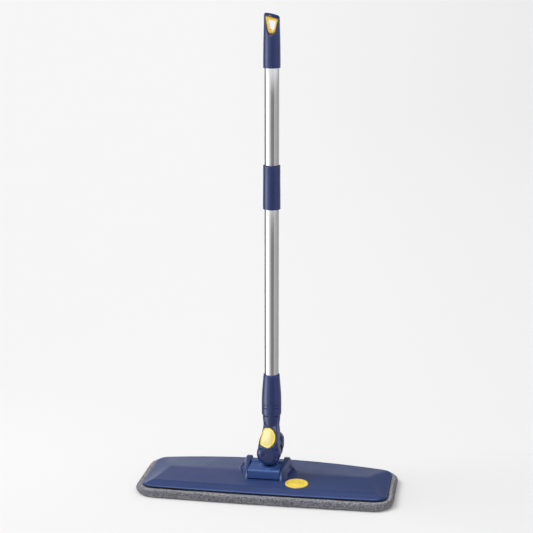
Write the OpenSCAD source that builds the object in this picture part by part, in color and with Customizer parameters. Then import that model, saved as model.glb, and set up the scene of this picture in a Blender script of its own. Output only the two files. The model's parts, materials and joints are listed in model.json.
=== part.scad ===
// Flat floor mop: steel pole in two sections, tilting and swivelling neck joint,
// wide moulded head plate and a textile pad held underneath by hook strips.
// Units are millimetres. +Z is up, -Y is the front of the head, X runs along the head.
// The origin lies on the floor, on the axis of the upright pole.

/* [Pole] */
// Outside diameter of both steel tubes
tube_d = 22; // [21.6:0.1:22]
// Wall thickness of both steel tubes
tube_wall = 0.8; // [0.6:0.1:1.2]
// Visible length of the lower steel tube
lower_len = 260.4; // [160:0.1:420]
// Length of the joint collar between the two tubes
collar_len = 67.1; // [60:0.1:90]
// Visible length of the upper steel tube
upper_len = 144.6; // [100:0.1:420]
// Length of the hand grip
grip_len = 80.6; // [78:0.1:120]
// Radius of the joint collar
collar_r = 13.1; // [12.6:0.1:14]
// Radius of the grip at its lower end
grip_r_low = 13; // [12.6:0.05:13.6]
// Radius of the grip at its upper end
grip_r_top = 12.2; // [11.9:0.05:13.4]
// Slant of the grip top
grip_slant = 10; // [6:1:12]

/* [Neck joint] */
// Height of the swivel pin above the floor
hub_z = 58.5; // [58:0.5:60]
// Radius of the round lobes of the neck
hub_r = 18.8; // [18.2:0.1:18.9]
// Sideways place of the swivel pin from the pole axis
hub_x = -1.8; // [-2:0.1:-1.6]
// Height of the upper end of the socket sleeve
socket_top = 184; // [170:1:220]
// Largest radius of the socket and lock ring
belly_r = 15.4; // [15:0.1:16.2]
// Radius of the steel swivel pin
swivel_pin_r = 4; // [3:0.1:4.5]
// Height of the tilt axle above the floor
axle_z = 30; // [29.5:0.1:31]
// Forward or rearward place of the tilt axle
axle_y = 4; // [3:0.1:5]
// Radius of the tilt axle
axle_r = 3; // [2:0.1:3.4]
// Width of the knuckle saddle between the ears
saddle_w = 50.4; // [48:0.1:50.6]

/* [Head plate] */
// Sideways place of the head middle from the pole axis
head_x = -4.5; // [-5.5:0.5:-4]
// Length of the head plate
plate_len = 382; // [330:1:430]
// Front edge of the plate at its ends
plate_front = 66.65; // [62:0.1:70]
// Rear edge of the plate at its ends
plate_rear = 56.65; // [52:0.1:62]
// Bow of the front edge
front_bow = 3.1; // [2:0.1:4]
// Bow of the rear edge
rear_bow = 23.8; // [18:0.1:28]
// Corner radius of the plate
plate_corner = 19.2; // [14:0.1:24]
// Height of the flat top of the plate
plateau_z = 20.5; // [20:0.1:21]
// Wall thickness of the moulded plate
shell_t = 2.2; // [1.8:0.1:2.6]
// Diameter of the yellow disc
badge_d = 36; // [30:0.5:38]

/* [Pad] */
// Overhang of the pad beyond the plate
pad_over = 11.8; // [8:0.1:16]
// Corner radius of the pad
pad_corner = 34; // [26:1:40]
// Forward shift of the pad relative to the plate
pad_shift = 5.6; // [0:0.1:7]

/* [Fit] */
// Running clearance on radius between turning and sliding pieces
gap = 0.05; // [0.02:0.01:0.08]

/* [Hidden] */
$fn = 96;

// Pole
tube_r = tube_d / 2;
bore_r = tube_r - tube_wall;
collar_bot = socket_top + lower_len;
collar_top = collar_bot + collar_len;
collar_mid = (collar_bot + collar_top) / 2;
grip_bot = collar_top + upper_len;
grip_top = grip_bot + grip_len;
tube_in_grip = 40;      // reach of the upper tube into the grip
plug_bot = 14;          // foot of the grip plug above the grip foot
flange_half = 1;        // half thickness of the stud flange between the tubes
tube_seam = 0.05;       // play between stud flange and tube end
stud_r = 7;             // threaded part of the joint stud

// Socket and neck
tube_foot = 113;        // lower end of the lower tube
ring_bot = 131.3;       // lock ring, lower face
ring_top = 136.2;       // lock ring, upper face
spigot_r = 12.6;        // round neck end inside lock ring and sleeve
spigot_bore_r = 12.65;
spigot_top = 150;
neck_step = 118.6;      // step under the lock ring
neck_slim = 96.6;       // slimmest level of the neck
lobe_front = -26;       // front face of the neck lobes
lobe_rear = 29;         // rear face of the neck lobes
front_round = 9;        // edge rounding of the front lobe
rear_round = 6;         // rear edge rounding of the main lobe
flank_rear = 8.6;       // rear end of the straight flank of the main lobe
screw_z = 139.5;        // height of the retaining screw
screw_seat_x = -13.4;   // foot of the retaining screw head
locking_x = hub_x - 6.8; // axis of the locking screw

// Push-button and latch lever
button_y = -19.5;       // middle of the button face
button_z = 85;
button_tilt = 68;       // turns the button axis out of the slanted neck face
button_back = -3.4;     // rear face of the button on its own axis
stem_r = 3.2;
lever_z = 104;          // pivot of the latch lever
lever_w = 6;
lever_pin_r = 1.5;

// Knuckle and axle
saddle_x = head_x - 3;  // middle of the saddle and its ears
saddle_bot = 21.7;      // underside of the saddle toe
boss_y = -12.4;         // middle of the round boss
boss_z = 34;            // foot of boss and post
tongue_front = -4;
tongue_rear = 8;
slot_play = 0.5;        // free space on each side of the tongue
washer_play = 0.06;
washer_t = 0.38;
ear_in = saddle_w / 2 + 0.5;  // inner faces of the ears
ear_x = 24.2;           // inner ear face in the ear tables
cap_x = ear_in + 11.2;  // foot of the axle cap seats
cap_seat_r = 4.2;
pocket_half = 10.2;     // half the straight length of the ear flank pocket
pocket_r = 2.6;

// Head
base_z = 11.6;          // underside of the moulded plate
under_t = 1.55;         // thickness of the under plate
rib_z = 13.4;           // foot of ribs and screw posts
badge_x = 50.6;         // disc middle from the head middle
badge_y = -40.5;
badge_round = 1.4;      // edge rounding of the disc
badge_edge = 1.9;       // height of the disc edge below its rounding
badge_stem_r = 6;
bumper_seat = [30, 8];  // x and y size of the bumper seat
bumper_y = -30;         // front of the bumper seat
bumper_play = 0.2;
pad_inset = 5;          // pad layers inside the outer edge of the binding
binding_w = 4.9;        // width of the pad binding
big = 400;              // longer than any plate part it cuts

// ---------- tables ----------
// Middles of the head screws from the head middle: x, y
screw_places = [[-150, -34], [150, -34], [-150, 30], [150, 30], [-78, -8], [78, -8]];

// Side line of the latch lever from its pivot: y, z
lever_side = [[-2.2, -13], [1.0, -13], [2.2, -6], [2.2, 15.6], [11.7, 15.6], [12.0, 16.2],
  [11.6, 19.6], [-1.4, 19.6], [-2.2, 6]];

// Section of the button spring: radius, height on the button axis
spring_section = [[3.9, -7.3], [4.4, -7.3], [7.4, -6.0], [4.4, -4.7], [7.4, -3.4],
  [7.4, -2.9], [7.9, -2.9], [7.9, -3.4], [5.2, -4.7], [7.9, -6.0], [4.6, -7.35], [3.9, -7.35]];

// Side line of the lower neck: y, z
neck_side = [[-10.5, 113], [-11.4, 104], [-25.4, 69.6], [-25.4, hub_z],
  [lobe_rear - 2, hub_z], [lobe_rear - 2, 68], [22, 73], [16, 79], [13.4, 86], [11.4, 94],
  [10.5, 113]];

// Front line of the lower neck, spreading more on the -X side: x, z
neck_face = [[-10.5, 113], [-11.4, 99], [-12.9, 91], [-15.3, 84], [-16.9, 77.7],
  [-18.1, 70.8], [-19.2, 65], [hub_x - hub_r + 0.1, hub_z], [hub_x + hub_r - 0.6, hub_z],
  [16.2, 63], [14.6, 68], [13.3, 74], [12.8, 80], [12.5, 86], [11.4, 95], [10.5, 113]];

// Upper round neck with the step under the lock ring: radius, z
neck_round = [[0, neck_slim - 12], [12.2, neck_slim - 12], [12.3, neck_slim + 2],
  [12.9, 104], [13.3, 108], [13.8, 114], [14.0, neck_step - 0.2],
  [belly_r - 0.15, neck_step + 0.3], [belly_r, neck_step + 1.2], [belly_r, ring_bot - 1],
  [belly_r - 0.1, ring_bot - 0.1], [spigot_r, ring_bot - 0.1], [spigot_r, spigot_top],
  [0, spigot_top]];

// Rear lobe: radius, -y
rear_lobe = [[0, -lobe_rear], [14.6, -lobe_rear], [17.4, -lobe_rear + 1.4],
  [20, -lobe_rear + 5], [20, -13.6], [17.4, -11.4], [0, -11.4]];

// Socket sleeve: radius, z
sleeve_profile = [[0, ring_top + 0.1], [belly_r - 0.05, ring_top + 0.1],
  [belly_r, ring_top + 1.2], [belly_r - 0.05, 146], [belly_r - 0.4, 154],
  [belly_r - 1.0, 162], [belly_r - 1.75, 170], [13.1, socket_top - 4],
  [12.8, socket_top - 1], [12.3, socket_top], [0, socket_top]];

// Side line of the grip with a fine lip at its lower end: radius, z
grip_profile = [[0, grip_bot], [grip_r_low - 0.9, grip_bot], [grip_r_low, grip_bot + 0.9],
  [grip_r_low, grip_bot + 2.2], [grip_r_low - 0.35, grip_bot + 2.6],
  [grip_r_low - 0.35, grip_bot + 3.1], [grip_r_low - 0.05, grip_bot + 3.5],
  [grip_r_top, grip_top - 16], [grip_r_top, grip_top + 8], [0, grip_top + 8]];

// Ear side line, highest behind the axle: y, z
ear_side = [[-33, 15], [-33, 22], [-31.6, 27], [-29, 32], [-25, 35.3], [-20, 37],
  [-8, 38.8], [6, 41], [12, 41.8], [16, 41.7], [20, 39.8], [24, 35], [28, 27], [31, 15]];
// Ear outer flank, spreading towards the foot: x, z
ear_flank = [[24.2, 15], [24.2, 44], [32.9, 44], [33.4, 41], [36.5, 36.5], [39, 31],
  [41.5, 26], [44, 22.5], [47, 20], [47, 15]];
// Ear from above, narrow in front and widest behind the axle: x, y
ear_plan = [[24.2, -34], [27.8, -34], [29.2, -31], [31.5, -26], [36, -14], [42, -2],
  [46.5, 9], [46.5, 19], [42, 27], [35, 31], [24.2, 31]];

// ---------- helpers ----------
module tube_solid(outer_r, inner_r, bottom, top) {
  difference() {
    translate([0, 0, bottom]) cylinder(r = outer_r, h = top - bottom);
    translate([0, 0, bottom - 1]) cylinder(r = inner_r, h = top - bottom + 2);
  }
}

// round rod along Y
module rod_y(radius, y_from, y_to, x, z) {
  translate([x, y_to, z]) rotate([90, 0, 0]) cylinder(r = radius, h = y_to - y_from);
}

// round rod along X
module rod_x(radius, x_from, x_to, y, z) {
  translate([x_from, y, z]) rotate([0, 90, 0]) cylinder(r = radius, h = x_to - x_from);
}

// extrudes a y, z outline along X
module along_x(x_from, width) {
  translate([x_from, 0, 0]) rotate([90, 0, 90]) linear_extrude(width) children();
}

// extrudes an x, z outline along Y, half to each side
module along_y(depth) {
  translate([0, depth / 2, 0]) rotate([90, 0, 0]) linear_extrude(depth) children();
}

// children and their mirror image across X = 0
module both_sides() {
  for (side = [0, 1]) mirror([side, 0, 0]) children();
}

// ---------- head outline ----------
// wedge outside the corner circle; bow_y is the arc middle of the long edge
module corner_cut(corner_x, corner_y, bow_y, radius) {
  distance = sqrt(corner_x * corner_x + (corner_y - bow_y) * (corner_y - bow_y));
  out_x = corner_x / distance * 2 * radius;
  out_y = (corner_y - bow_y) / distance * 2 * radius;
  end_x = corner_x + (corner_x > 0 ? 1 : -1) * 2 * radius;
  difference() {
    polygon([[corner_x, corner_y], [end_x, corner_y], [end_x + out_x, corner_y + out_y],
      [corner_x + out_x, corner_y + out_y]]);
    translate([corner_x, corner_y]) circle(r = radius + 0.03);
  }
}

function bow_radius(half_len, bow) = (half_len * half_len + bow * bow) / (2 * bow);

// y distance from the arc middle of a long edge to the corner circle middle
function corner_reach(bow_r, half_len, corner) =
  sqrt((bow_r - corner) * (bow_r - corner) - (half_len - corner) * (half_len - corner));

// outline of the head with bowed long edges, grown all round and shifted forward
module outline(grow, shift, corner) {
  half_len = plate_len / 2 + grow;
  front_y = -plate_front - grow - shift;
  rear_y = plate_rear + grow - shift;
  front_r = bow_radius(half_len, front_bow);
  rear_r = bow_radius(half_len, rear_bow);
  front_mid = front_y - front_bow + front_r;
  rear_mid = rear_y + rear_bow - rear_r;
  front_corner = front_mid - corner_reach(front_r, half_len, corner);
  rear_corner = rear_mid + corner_reach(rear_r, half_len, corner);
  difference() {
    intersection() {
      translate([-half_len, front_y - front_bow - 1])
        square([2 * half_len, rear_y - front_y + front_bow + rear_bow + 2]);
      translate([0, front_mid]) circle(r = front_r, $fn = 720);
      translate([0, rear_mid]) circle(r = rear_r, $fn = 360);
    }
    for (side = [1, -1]) {
      corner_cut(side * (half_len - corner), front_corner, front_mid, corner);
      corner_cut(side * (half_len - corner), rear_corner, rear_mid, corner);
    }
  }
}

// body under the sloped faces of the head, lowered by drop
module roof(drop, half_len) {
  top = plateau_z - drop;
  intersection() {
    along_x(-big / 2, big)
      polygon([[-100, 0], [-72, 11.6 - drop], [-59.5, top], [5, top],
        [82, 12.6 - drop], [100, 10.6 - drop], [100, 0]]);
    // turned bodies with sloped ends; they are joined first, and each covers
    // the slope of the other
    both_sides() translate([half_len - 17, -60, 0]) rotate([0, 0, 11])
      translate([-2 * half_len, -150, 0])
      rotate([90, 0, 0]) translate([0, 0, -400]) linear_extrude(600)
        polygon([[-200, 0], [-200, top], [2 * half_len, top],
          [2 * half_len + 40, top - 17.5], [2 * half_len + 40, 0]]);
  }
}

// ---------- grip ----------
module grip_shape() {
  intersection() {
    rotate_extrude() polygon(grip_profile);
    // slanted, rounded top
    translate([-1.6, 0, grip_top - 15.9]) rotate([0, grip_slant, 0]) rotate_extrude() {
      translate([0, -120]) square([40, 116]);
      translate([0, -5]) square([7.3, 19.0]);
      translate([0, -5]) square([14.5, 14.0]);
      translate([7.3, 9.0]) circle(r = 5.0);
    }
  }
}

// hang opening: wide slanted top, narrow round foot
function foot_arc(radius, x, z) =
  [for (a = [190:10:350]) [x + radius * cos(a), z + radius * sin(a)]];

module hang_outer(depth) {
  translate([0, 0, grip_top - 20.7]) along_y(depth)
    polygon(concat([[10, 11.6], [-9.15, 17.0]], foot_arc(5.6, 0.6, -3.6)));
}

module hang_inner(depth) {
  translate([0, 0, grip_top - 20.7]) along_y(depth)
    polygon(concat([[6.8, 8.6], [-6.5, 11.4]], foot_arc(3.8, 0.8, -0.6)));
}

module grip_body() color("#2f3c6b") difference() {
  grip_shape();
  translate([0, 0, grip_bot - 1]) cylinder(r = tube_r + gap, h = tube_in_grip + 3.2);
  hang_outer(40);
  // scooped faces round the hang opening, front and back
  for (side = [-1, 1]) translate([0.3, side * 15.2, grip_top - 19.5])
    rotate([side * -6, 0, 0]) rotate([90, 0, 0]) cylinder(r = 11.4, h = 8, center = true);
}

module hang_liner() color("#f2c722") difference() {
  intersection() {
    hang_outer(21);
    translate([0, 0, grip_bot]) cylinder(r = grip_r_top - 0.6, h = grip_len);
  }
  hang_inner(23);
}

module grip_plug() color("#3a4166") {
  flange_z = tube_in_grip + 0.1;
  union() {
    translate([0, 0, grip_bot + plug_bot]) cylinder(r = bore_r - gap, h = flange_z - plug_bot);
    translate([0, 0, grip_bot + flange_z]) cylinder(r = tube_r - 0.1, h = 1.9);
  }
}

// ---------- pole ----------
module upper_tube() color("#c9cbd0")
  tube_solid(tube_r, bore_r, collar_mid + flange_half + tube_seam, grip_bot + tube_in_grip);

// window for the hook of the latch lever
module latch_window(depth) {
  translate([-3.6, 5, 118.6]) cube([7.2, depth, 8.6]);
}

module retaining_hole() {
  rod_x(1.5, -20, 0, 0, screw_z);
}

module lower_tube() color("#c9cbd0") difference() {
  tube_solid(tube_r, bore_r, tube_foot, collar_mid - flange_half - tube_seam);
  latch_window(10);
  retaining_hole();
}

module joint_collar() color("#2f3c6b") difference() {
  rotate_extrude() {
    // wider lower band, main body and full-length core
    translate([0, collar_bot + 2]) square([collar_r + 0.25, 14]);
    translate([0, collar_bot + 15]) square([collar_r - 0.1, collar_len - 17]);
    translate([0, collar_bot]) square([collar_r - 1.9, collar_len]);
    // rounded ends
    translate([collar_r - 1.75, collar_bot + 2]) circle(r = 2);
    translate([collar_r - 2.1, collar_top - 2]) circle(r = 2);
  }
  translate([0, 0, collar_bot - 1]) cylinder(r = tube_r + gap, h = collar_len + 2);
}

module joint_stud() color("#8d9096") translate([0, 0, collar_mid]) difference() {
  union() {
    translate([0, 0, flange_half]) cylinder(r = bore_r - gap, h = 28);
    translate([0, 0, -flange_half]) cylinder(r = tube_r, h = 2 * flange_half);
    translate([0, 0, -26]) cylinder(r = stud_r, h = 26);
    translate([0, 0, -27.2]) cylinder(r = 5.8, h = 2);
  }
  // thread roots
  for (i = [0:7]) translate([0, 0, -24.5 + i * 2.8]) rotate_extrude()
    translate([stud_r + 0.3, 0]) circle(r = 0.9, $fn = 24);
}

module joint_socket() color("#8d9096") difference() {
  translate([0, 0, collar_mid - 34]) cylinder(r = bore_r - gap, h = 32.9);
  translate([0, 0, collar_mid - 29]) cylinder(r = stud_r + gap, h = 30);
}

// ---------- socket ----------
module socket_sleeve() color("#2f3c6b") difference() {
  rotate_extrude() polygon(sleeve_profile);
  translate([0, 0, 100]) cylinder(r = tube_r + gap, h = socket_top);
  translate([0, 0, 100]) cylinder(r = spigot_bore_r, h = spigot_top + 0.2 - 100);
  // recess of the retaining screw head
  rod_x(2.6, -20, screw_seat_x, 0, screw_z);
  retaining_hole();
}

module lock_ring() color("#2f3c6b")
  tube_solid(belly_r - 0.1, spigot_bore_r, ring_bot, ring_top);

module retaining_screw() color("#9a9ca2") union() {
  rod_x(2.4, -14.9, screw_seat_x, 0, screw_z);
  rod_x(1.4, -13.6, -8.6, 0, screw_z);
}

// ---------- neck ----------
module neck_plan() {
  intersection() {
    translate([hub_x - hub_r, -27]) square([2 * hub_r, 42]);
    translate([hub_x, -5.4]) circle(r = 21);
  }
  translate([hub_x - 9, 0]) square([18, 28]);
}

// waist between the round part and the lobes
module neck_waist() {
  intersection() {
    along_x(-30, 60) polygon(neck_side);
    along_y(80) polygon(neck_face);
    translate([0, 0, 40]) linear_extrude(90) neck_plan();
  }
}

// lobe round the swivel pin, with rounded front and rear edges
module main_lobe() {
  translate([hub_x, 0, hub_z]) rotate([90, 0, 0]) rotate_extrude() {
    translate([0, -flank_rear]) square([hub_r, -lobe_front - front_round + flank_rear]);
    translate([0, -flank_rear - rear_round]) square([hub_r - rear_round, 10]);
    translate([0, -flank_rear]) square([hub_r - front_round, -lobe_front + flank_rear]);
    translate([hub_r - rear_round, -flank_rear]) circle(r = rear_round);
    translate([hub_r - front_round, -lobe_front - front_round]) circle(r = front_round);
  }
}

// fuller rear lobe, set higher, with flattened flanks
module upper_rear_lobe() {
  translate([hub_x, 0, hub_z + 6.4]) intersection() {
    rotate([90, 0, 0]) rotate_extrude() polygon(rear_lobe);
    translate([-18.1, 8, -30]) cube([36.2, 30, 60]);
  }
}

module neck_body() color("#2f3c6b") difference() {
  union() {
    rotate_extrude() polygon(neck_round);
    neck_waist();
    main_lobe();
    upper_rear_lobe();
  }
  // seat of the lower tube
  translate([0, 0, tube_foot - 0.2]) cylinder(r = tube_r + gap, h = 60);
  // chamber of the latch lever
  translate([0, 0, 86]) cylinder(r = 6.5, h = 40);
  latch_window(7.6);
  rod_x(lever_pin_r + gap, -9.5, 9.5, 0, lever_z);
  // pocket and guide of the push-button
  on_button() translate([0, 0, -7.4]) linear_extrude(20) shield(0.5);
  on_button() translate([0, 0, -20]) cylinder(r = stem_r + gap, h = 20);
  // slot for the knuckle tongue
  rod_y(15.8, tongue_front - slot_play, tongue_rear + slot_play, hub_x, hub_z);
  translate([-30, tongue_front - slot_play, hub_z - 30])
    cube([60, tongue_rear - tongue_front + 2 * slot_play, 39]);
  // blind bore of the swivel pin, entered from the rear, and recess of its head
  rod_y(swivel_pin_r + gap, -20, 27, hub_x, hub_z);
  rod_y(6.6, 26.4, 30, hub_x, hub_z);
  // seat of the locking screw in the front lobe
  rod_y(2.3, -30, -24.4, locking_x, hub_z);
  rod_y(1.2 + gap, -24.5, -14, locking_x, hub_z);
  retaining_hole();
}

// ---------- push-button and latch ----------
// outline of the push-button, grown all round
module shield(grow) {
  intersection() {
    translate([47.5, -9]) circle(r = 60 + grow, $fn = 240);
    translate([-6.5, 0.5]) circle(r = 17.6 + grow);
    translate([-2, -2]) circle(r = 18 + grow);
    translate([6, 16]) circle(r = 32.3 + grow, $fn = 160);
  }
}

// button frame: z points out of the neck face
module on_button() {
  translate([hub_x, button_y, button_z]) rotate([button_tilt, 0, 0]) children();
}

module lock_button() color("#f2c722") on_button() {
  difference() {
    translate([0, 0, button_back]) linear_extrude(4.8) shield(0);
    // raised rim round a sunken face
    translate([0, 0, 0.9]) linear_extrude(2) shield(-1.7);
    // ring groove in the rear face
    translate([0, 0, -4]) tube_solid(8.4, 5.6, 0, 2);
  }
  translate([0, 0, -12.6]) cylinder(r = stem_r, h = 9.4);
}

module button_spring() color("#b9bbc0") on_button() rotate_extrude() polygon(spring_section);

module latch_lever() color("#8d9096") translate([0, 0, lever_z]) difference() {
  union() {
    along_x(-lever_w / 2, lever_w) polygon(lever_side);
    rod_x(3.4, -lever_w / 2, lever_w / 2, 0, 0);
  }
  rod_x(lever_pin_r + gap, -5, 5, 0, 0);
}

module lever_pin() color("#b9bbc0") rod_x(lever_pin_r, -9.4, 9.4, 0, lever_z);

// ---------- swivel and tilt joint ----------
module swivel_pin() color("#9a9ca2") union() {
  rod_y(swivel_pin_r, -19.9, 26.5, hub_x, hub_z);
  rod_y(6.4, 26.45, 28.6, hub_x, hub_z);
}

module locking_screw() color("#26315c") union() {
  rod_y(2.2, -25.6, -24.45, locking_x, hub_z);
  rod_y(1.2, -24.5, -14.2, locking_x, hub_z);
}

// one washer on each side of the tongue
module swivel_washers() color("#b9bbc0")
  for (y = [tongue_front - washer_play, tongue_rear + washer_play + washer_t])
    translate([hub_x, y, hub_z]) rotate([90, 0, 0])
      tube_solid(9, swivel_pin_r + 0.1, 0, washer_t);

// saddle side view with a rounded toe in front
module saddle_side() {
  translate([axle_y, axle_z]) circle(r = 9.1);
  translate([-32, saddle_bot]) square([31, 11.3]);
  translate([-28, saddle_bot]) square([20, 37 - saddle_bot]);
  translate([-28, 33]) circle(r = 4);
  translate([-28, 30]) square([29.5, 7]);
  translate([-10, saddle_bot]) square([14, 14]);
}

module knuckle() color("#34427a") difference() {
  union() {
    along_x(saddle_x - saddle_w / 2, saddle_w) saddle_side();
    // stepped round boss under the front lobe
    translate([hub_x, boss_y, boss_z]) cylinder(r = 15.6, h = 4);
    translate([hub_x, boss_y, boss_z]) cylinder(r = 14.2, h = 4.9);
    // post and tongue
    translate([hub_x - 9, tongue_front, boss_z])
      cube([18, tongue_rear - tongue_front, hub_z - boss_z]);
    rod_y(15.2, tongue_front, tongue_rear, hub_x, hub_z);
  }
  rod_y(swivel_pin_r + gap, -10, 14, hub_x, hub_z);
  rod_x(axle_r + gap, -40, 40, axle_y, axle_z);
  // hollow underside of the toe
  translate([saddle_x - 19, -19.5, 20]) cube([38, 12, 12]);
}

module tilt_axle() color("#b9bbc0")
  rod_x(axle_r, saddle_x - cap_x + 0.4, saddle_x + cap_x - 0.4, axle_y, axle_z);

module axle_caps() color("#2f3c6b") translate([saddle_x, 0, 0])
  both_sides() rod_x(cap_seat_r - 0.05, cap_x + 0.05, cap_x + 3.3, axle_y, axle_z);

// ---------- head ----------
module on_head() {
  translate([head_x, 0, 0]) children();
}

module at_screws() {
  for (place = screw_places) translate([place[0], place[1], 0]) children();
}

module at_badge() {
  translate([badge_x, badge_y, 0]) children();
}

module ear() {
  translate([ear_in - ear_x, 0, 0]) intersection() {
    along_x(ear_x, 40) polygon(ear_side);
    along_y(120) polygon(ear_flank);
    linear_extrude(50) polygon(ear_plan);
  }
}

// long recess at the foot of the ear flank
module side_pocket() {
  translate([ear_in - ear_x, 0, 0]) rotate([0, 0, -20.6])
    translate([34.3, 9.85, 24.4]) rotate([7.8, 0, 0]) {
      for (y = [-pocket_half, pocket_half])
        translate([0, y, 0]) rotate([0, 90, 0]) cylinder(r = pocket_r, h = 20);
      translate([0, -pocket_half, -pocket_r]) cube([20, 2 * pocket_half, 2 * pocket_r]);
    }
}

module ears() {
  difference() {
    both_sides() ear();
    rod_x(axle_r + gap, -cap_x - 0.1, cap_x + 0.1, axle_y, axle_z);
    both_sides() rod_x(cap_seat_r, cap_x, 60, axle_y, axle_z);
    both_sides() side_pocket();
  }
}

module plate_shell() {
  difference() {
    intersection() {
      translate([0, 0, base_z]) linear_extrude(20) outline(0, 0, plate_corner);
      roof(0, plate_len / 2);
    }
    // hollow underside, with room for the under plate
    intersection() {
      translate([0, 0, base_z - 1]) linear_extrude(20)
        outline(-shell_t - 0.2, 0, plate_corner - shell_t);
      union() {
        roof(shell_t, plate_len / 2 - 1.4);
        translate([-big / 2, -100, 0]) cube([big, 200, base_z + under_t + 0.1]);
      }
    }
  }
}

// ribs and screw posts under the top
module plate_ribs() {
  intersection() {
    union() {
      for (x = [-115, -46, 46, 115]) translate([x - 0.9, -60, rib_z]) cube([1.8, 120, 6]);
      for (y = [-48, 16]) translate([-165, y, rib_z]) cube([330, 1.8, 4]);
      at_screws() translate([0, 0, rib_z]) cylinder(r = 4.2, h = 6);
    }
    difference() {
      translate([-200, -100, 0]) cube([400, 200, 60]);
      // room for the clip of the yellow disc
      at_badge() cylinder(r = 9.6, h = 60);
    }
    roof(1, plate_len / 2);
    translate([0, 0, base_z]) linear_extrude(20) outline(-3, 0, 16);
  }
}

module top_plate() color("#3a4576") on_head() difference() {
  union() {
    plate_shell();
    translate([saddle_x - head_x, 0, 0]) ears();
    plate_ribs();
  }
  at_screws() translate([0, 0, 10]) cylinder(r = 1.55, h = 6.2);
  // recess and stem hole of the yellow disc
  at_badge() translate([0, 0, plateau_z - 1.2]) cylinder(r = badge_d / 2 + 0.7, h = 10);
  at_badge() translate([0, 0, 5]) cylinder(r = badge_stem_r + 0.1, h = 30);
  // seat of the toe bumper
  translate([saddle_x - head_x - bumper_seat[0] / 2, bumper_y, plateau_z - 0.8])
    cube([bumper_seat[0], bumper_seat[1], 0.9]);
}

module toe_bumper() color("#20232e")
  translate([saddle_x - bumper_seat[0] / 2 + bumper_play, bumper_y + bumper_play,
    plateau_z - 0.75])
    cube([bumper_seat[0] - 2 * bumper_play, bumper_seat[1] - 2 * bumper_play, 1.0]);

module badge_disc() color("#f2c722") on_head() at_badge() union() {
  difference() {
    translate([0, 0, plateau_z - 1.1]) rotate_extrude() {
      square([badge_d / 2 - badge_round, badge_edge + badge_round]);
      square([badge_d / 2, badge_edge]);
      translate([badge_d / 2 - badge_round, badge_edge]) circle(r = badge_round, $fn = 48);
    }
    // shallow dished face
    translate([0, 0, plateau_z + 121.6]) sphere(r = 120, $fn = 200);
  }
  translate([0, 0, base_z + 4.2]) cylinder(r = badge_stem_r, h = plateau_z - base_z - 5);
}

module badge_clip() color("#b9bbc0") on_head() at_badge() difference() {
  translate([0, 0, base_z + 1.8]) cylinder(r = 9, h = 2.3);
  translate([0, 0, base_z + 0.8]) cylinder(r = 2.5, h = 5);
}

module under_plate() color("#2b3560") on_head() difference() {
  translate([0, 0, base_z]) linear_extrude(under_t)
    outline(-shell_t - 0.5, 0, plate_corner - shell_t);
  at_screws() translate([0, 0, 10]) cylinder(r = 1.75, h = 6);
  at_screws() translate([0, 0, base_z - 0.1]) cylinder(r = 3.3, h = 0.95);
}

module plate_screws() color("#b9bbc0") on_head() at_screws() {
  translate([0, 0, base_z + 0.03]) cylinder(r = 3.1, h = 0.8);
  translate([0, 0, base_z + 0.5]) cylinder(r = 1.5, h = 4);
}

module hook_strips() color("#1d2238") on_head()
  for (y = [-52, 14]) translate([-160, y, base_z - 0.85]) cube([320, 24, 0.82]);

// ---------- pad ----------
module pad_layer(z, thickness) {
  translate([head_x, 0, z]) linear_extrude(thickness)
    outline(pad_over - pad_inset, pad_shift, pad_corner - pad_inset);
}

module pad_backing() color("#8d9098") pad_layer(9.5, 1.2);
module pad_core() color("#b4b6ba") pad_layer(6.6, 2.85);
module pad_cover() color("#9c9ea4") pad_layer(0, 6.5);

module pad_binding() color("#93959c")
  translate([head_x, 0, 0.4]) linear_extrude(10.9) difference() {
    outline(pad_over, pad_shift, pad_corner);
    outline(pad_over - binding_w, pad_shift, pad_corner - binding_w);
  }

grip_body();
hang_liner();
grip_plug();
upper_tube();
joint_collar();
joint_stud();
joint_socket();
lower_tube();
socket_sleeve();
lock_ring();
retaining_screw();
neck_body();
lock_button();
button_spring();
latch_lever();
lever_pin();
swivel_pin();
swivel_washers();
locking_screw();
knuckle();
tilt_axle();
axle_caps();
top_plate();
toe_bumper();
badge_disc();
badge_clip();
under_plate();
plate_screws();
hook_strips();
pad_backing();
pad_core();
pad_cover();
pad_binding();
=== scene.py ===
"""Floor head with a felt pad, on a swivel joint and a two-part steel pole.

Metres, +Z up, floor at z = 0. The pole axis is the Z axis; the head is long in X,
its front edge faces -Y. Sizes below are in millimetres unless noted.
"""
import json
import math
import bmesh
import bpy
import numpy as np
from mathutils import Matrix, Vector
from mathutils.kdtree import KDTree

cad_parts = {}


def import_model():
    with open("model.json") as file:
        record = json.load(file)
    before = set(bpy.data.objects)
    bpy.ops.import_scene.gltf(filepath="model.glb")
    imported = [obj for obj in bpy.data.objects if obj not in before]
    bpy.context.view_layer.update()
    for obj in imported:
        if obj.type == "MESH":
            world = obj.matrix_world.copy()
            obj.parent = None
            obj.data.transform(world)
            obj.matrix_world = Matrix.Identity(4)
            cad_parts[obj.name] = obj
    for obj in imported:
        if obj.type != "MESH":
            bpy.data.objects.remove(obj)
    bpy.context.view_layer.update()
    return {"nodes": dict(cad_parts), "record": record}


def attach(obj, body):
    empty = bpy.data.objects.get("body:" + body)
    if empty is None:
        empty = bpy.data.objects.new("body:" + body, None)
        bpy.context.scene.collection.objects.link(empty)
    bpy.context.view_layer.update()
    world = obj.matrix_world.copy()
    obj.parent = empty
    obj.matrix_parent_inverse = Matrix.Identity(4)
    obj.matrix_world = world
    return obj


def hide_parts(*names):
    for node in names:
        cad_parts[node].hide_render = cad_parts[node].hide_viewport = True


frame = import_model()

scene = bpy.context.scene
MM = 0.001

# places in X
HEAD_X = -4.5      # middle of the head from the pole axis
SADDLE_X = -3.0    # middle between the ears, from the middle of the head
HUB_X = -1.8       # middle of the swivel joint from the pole axis

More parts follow.
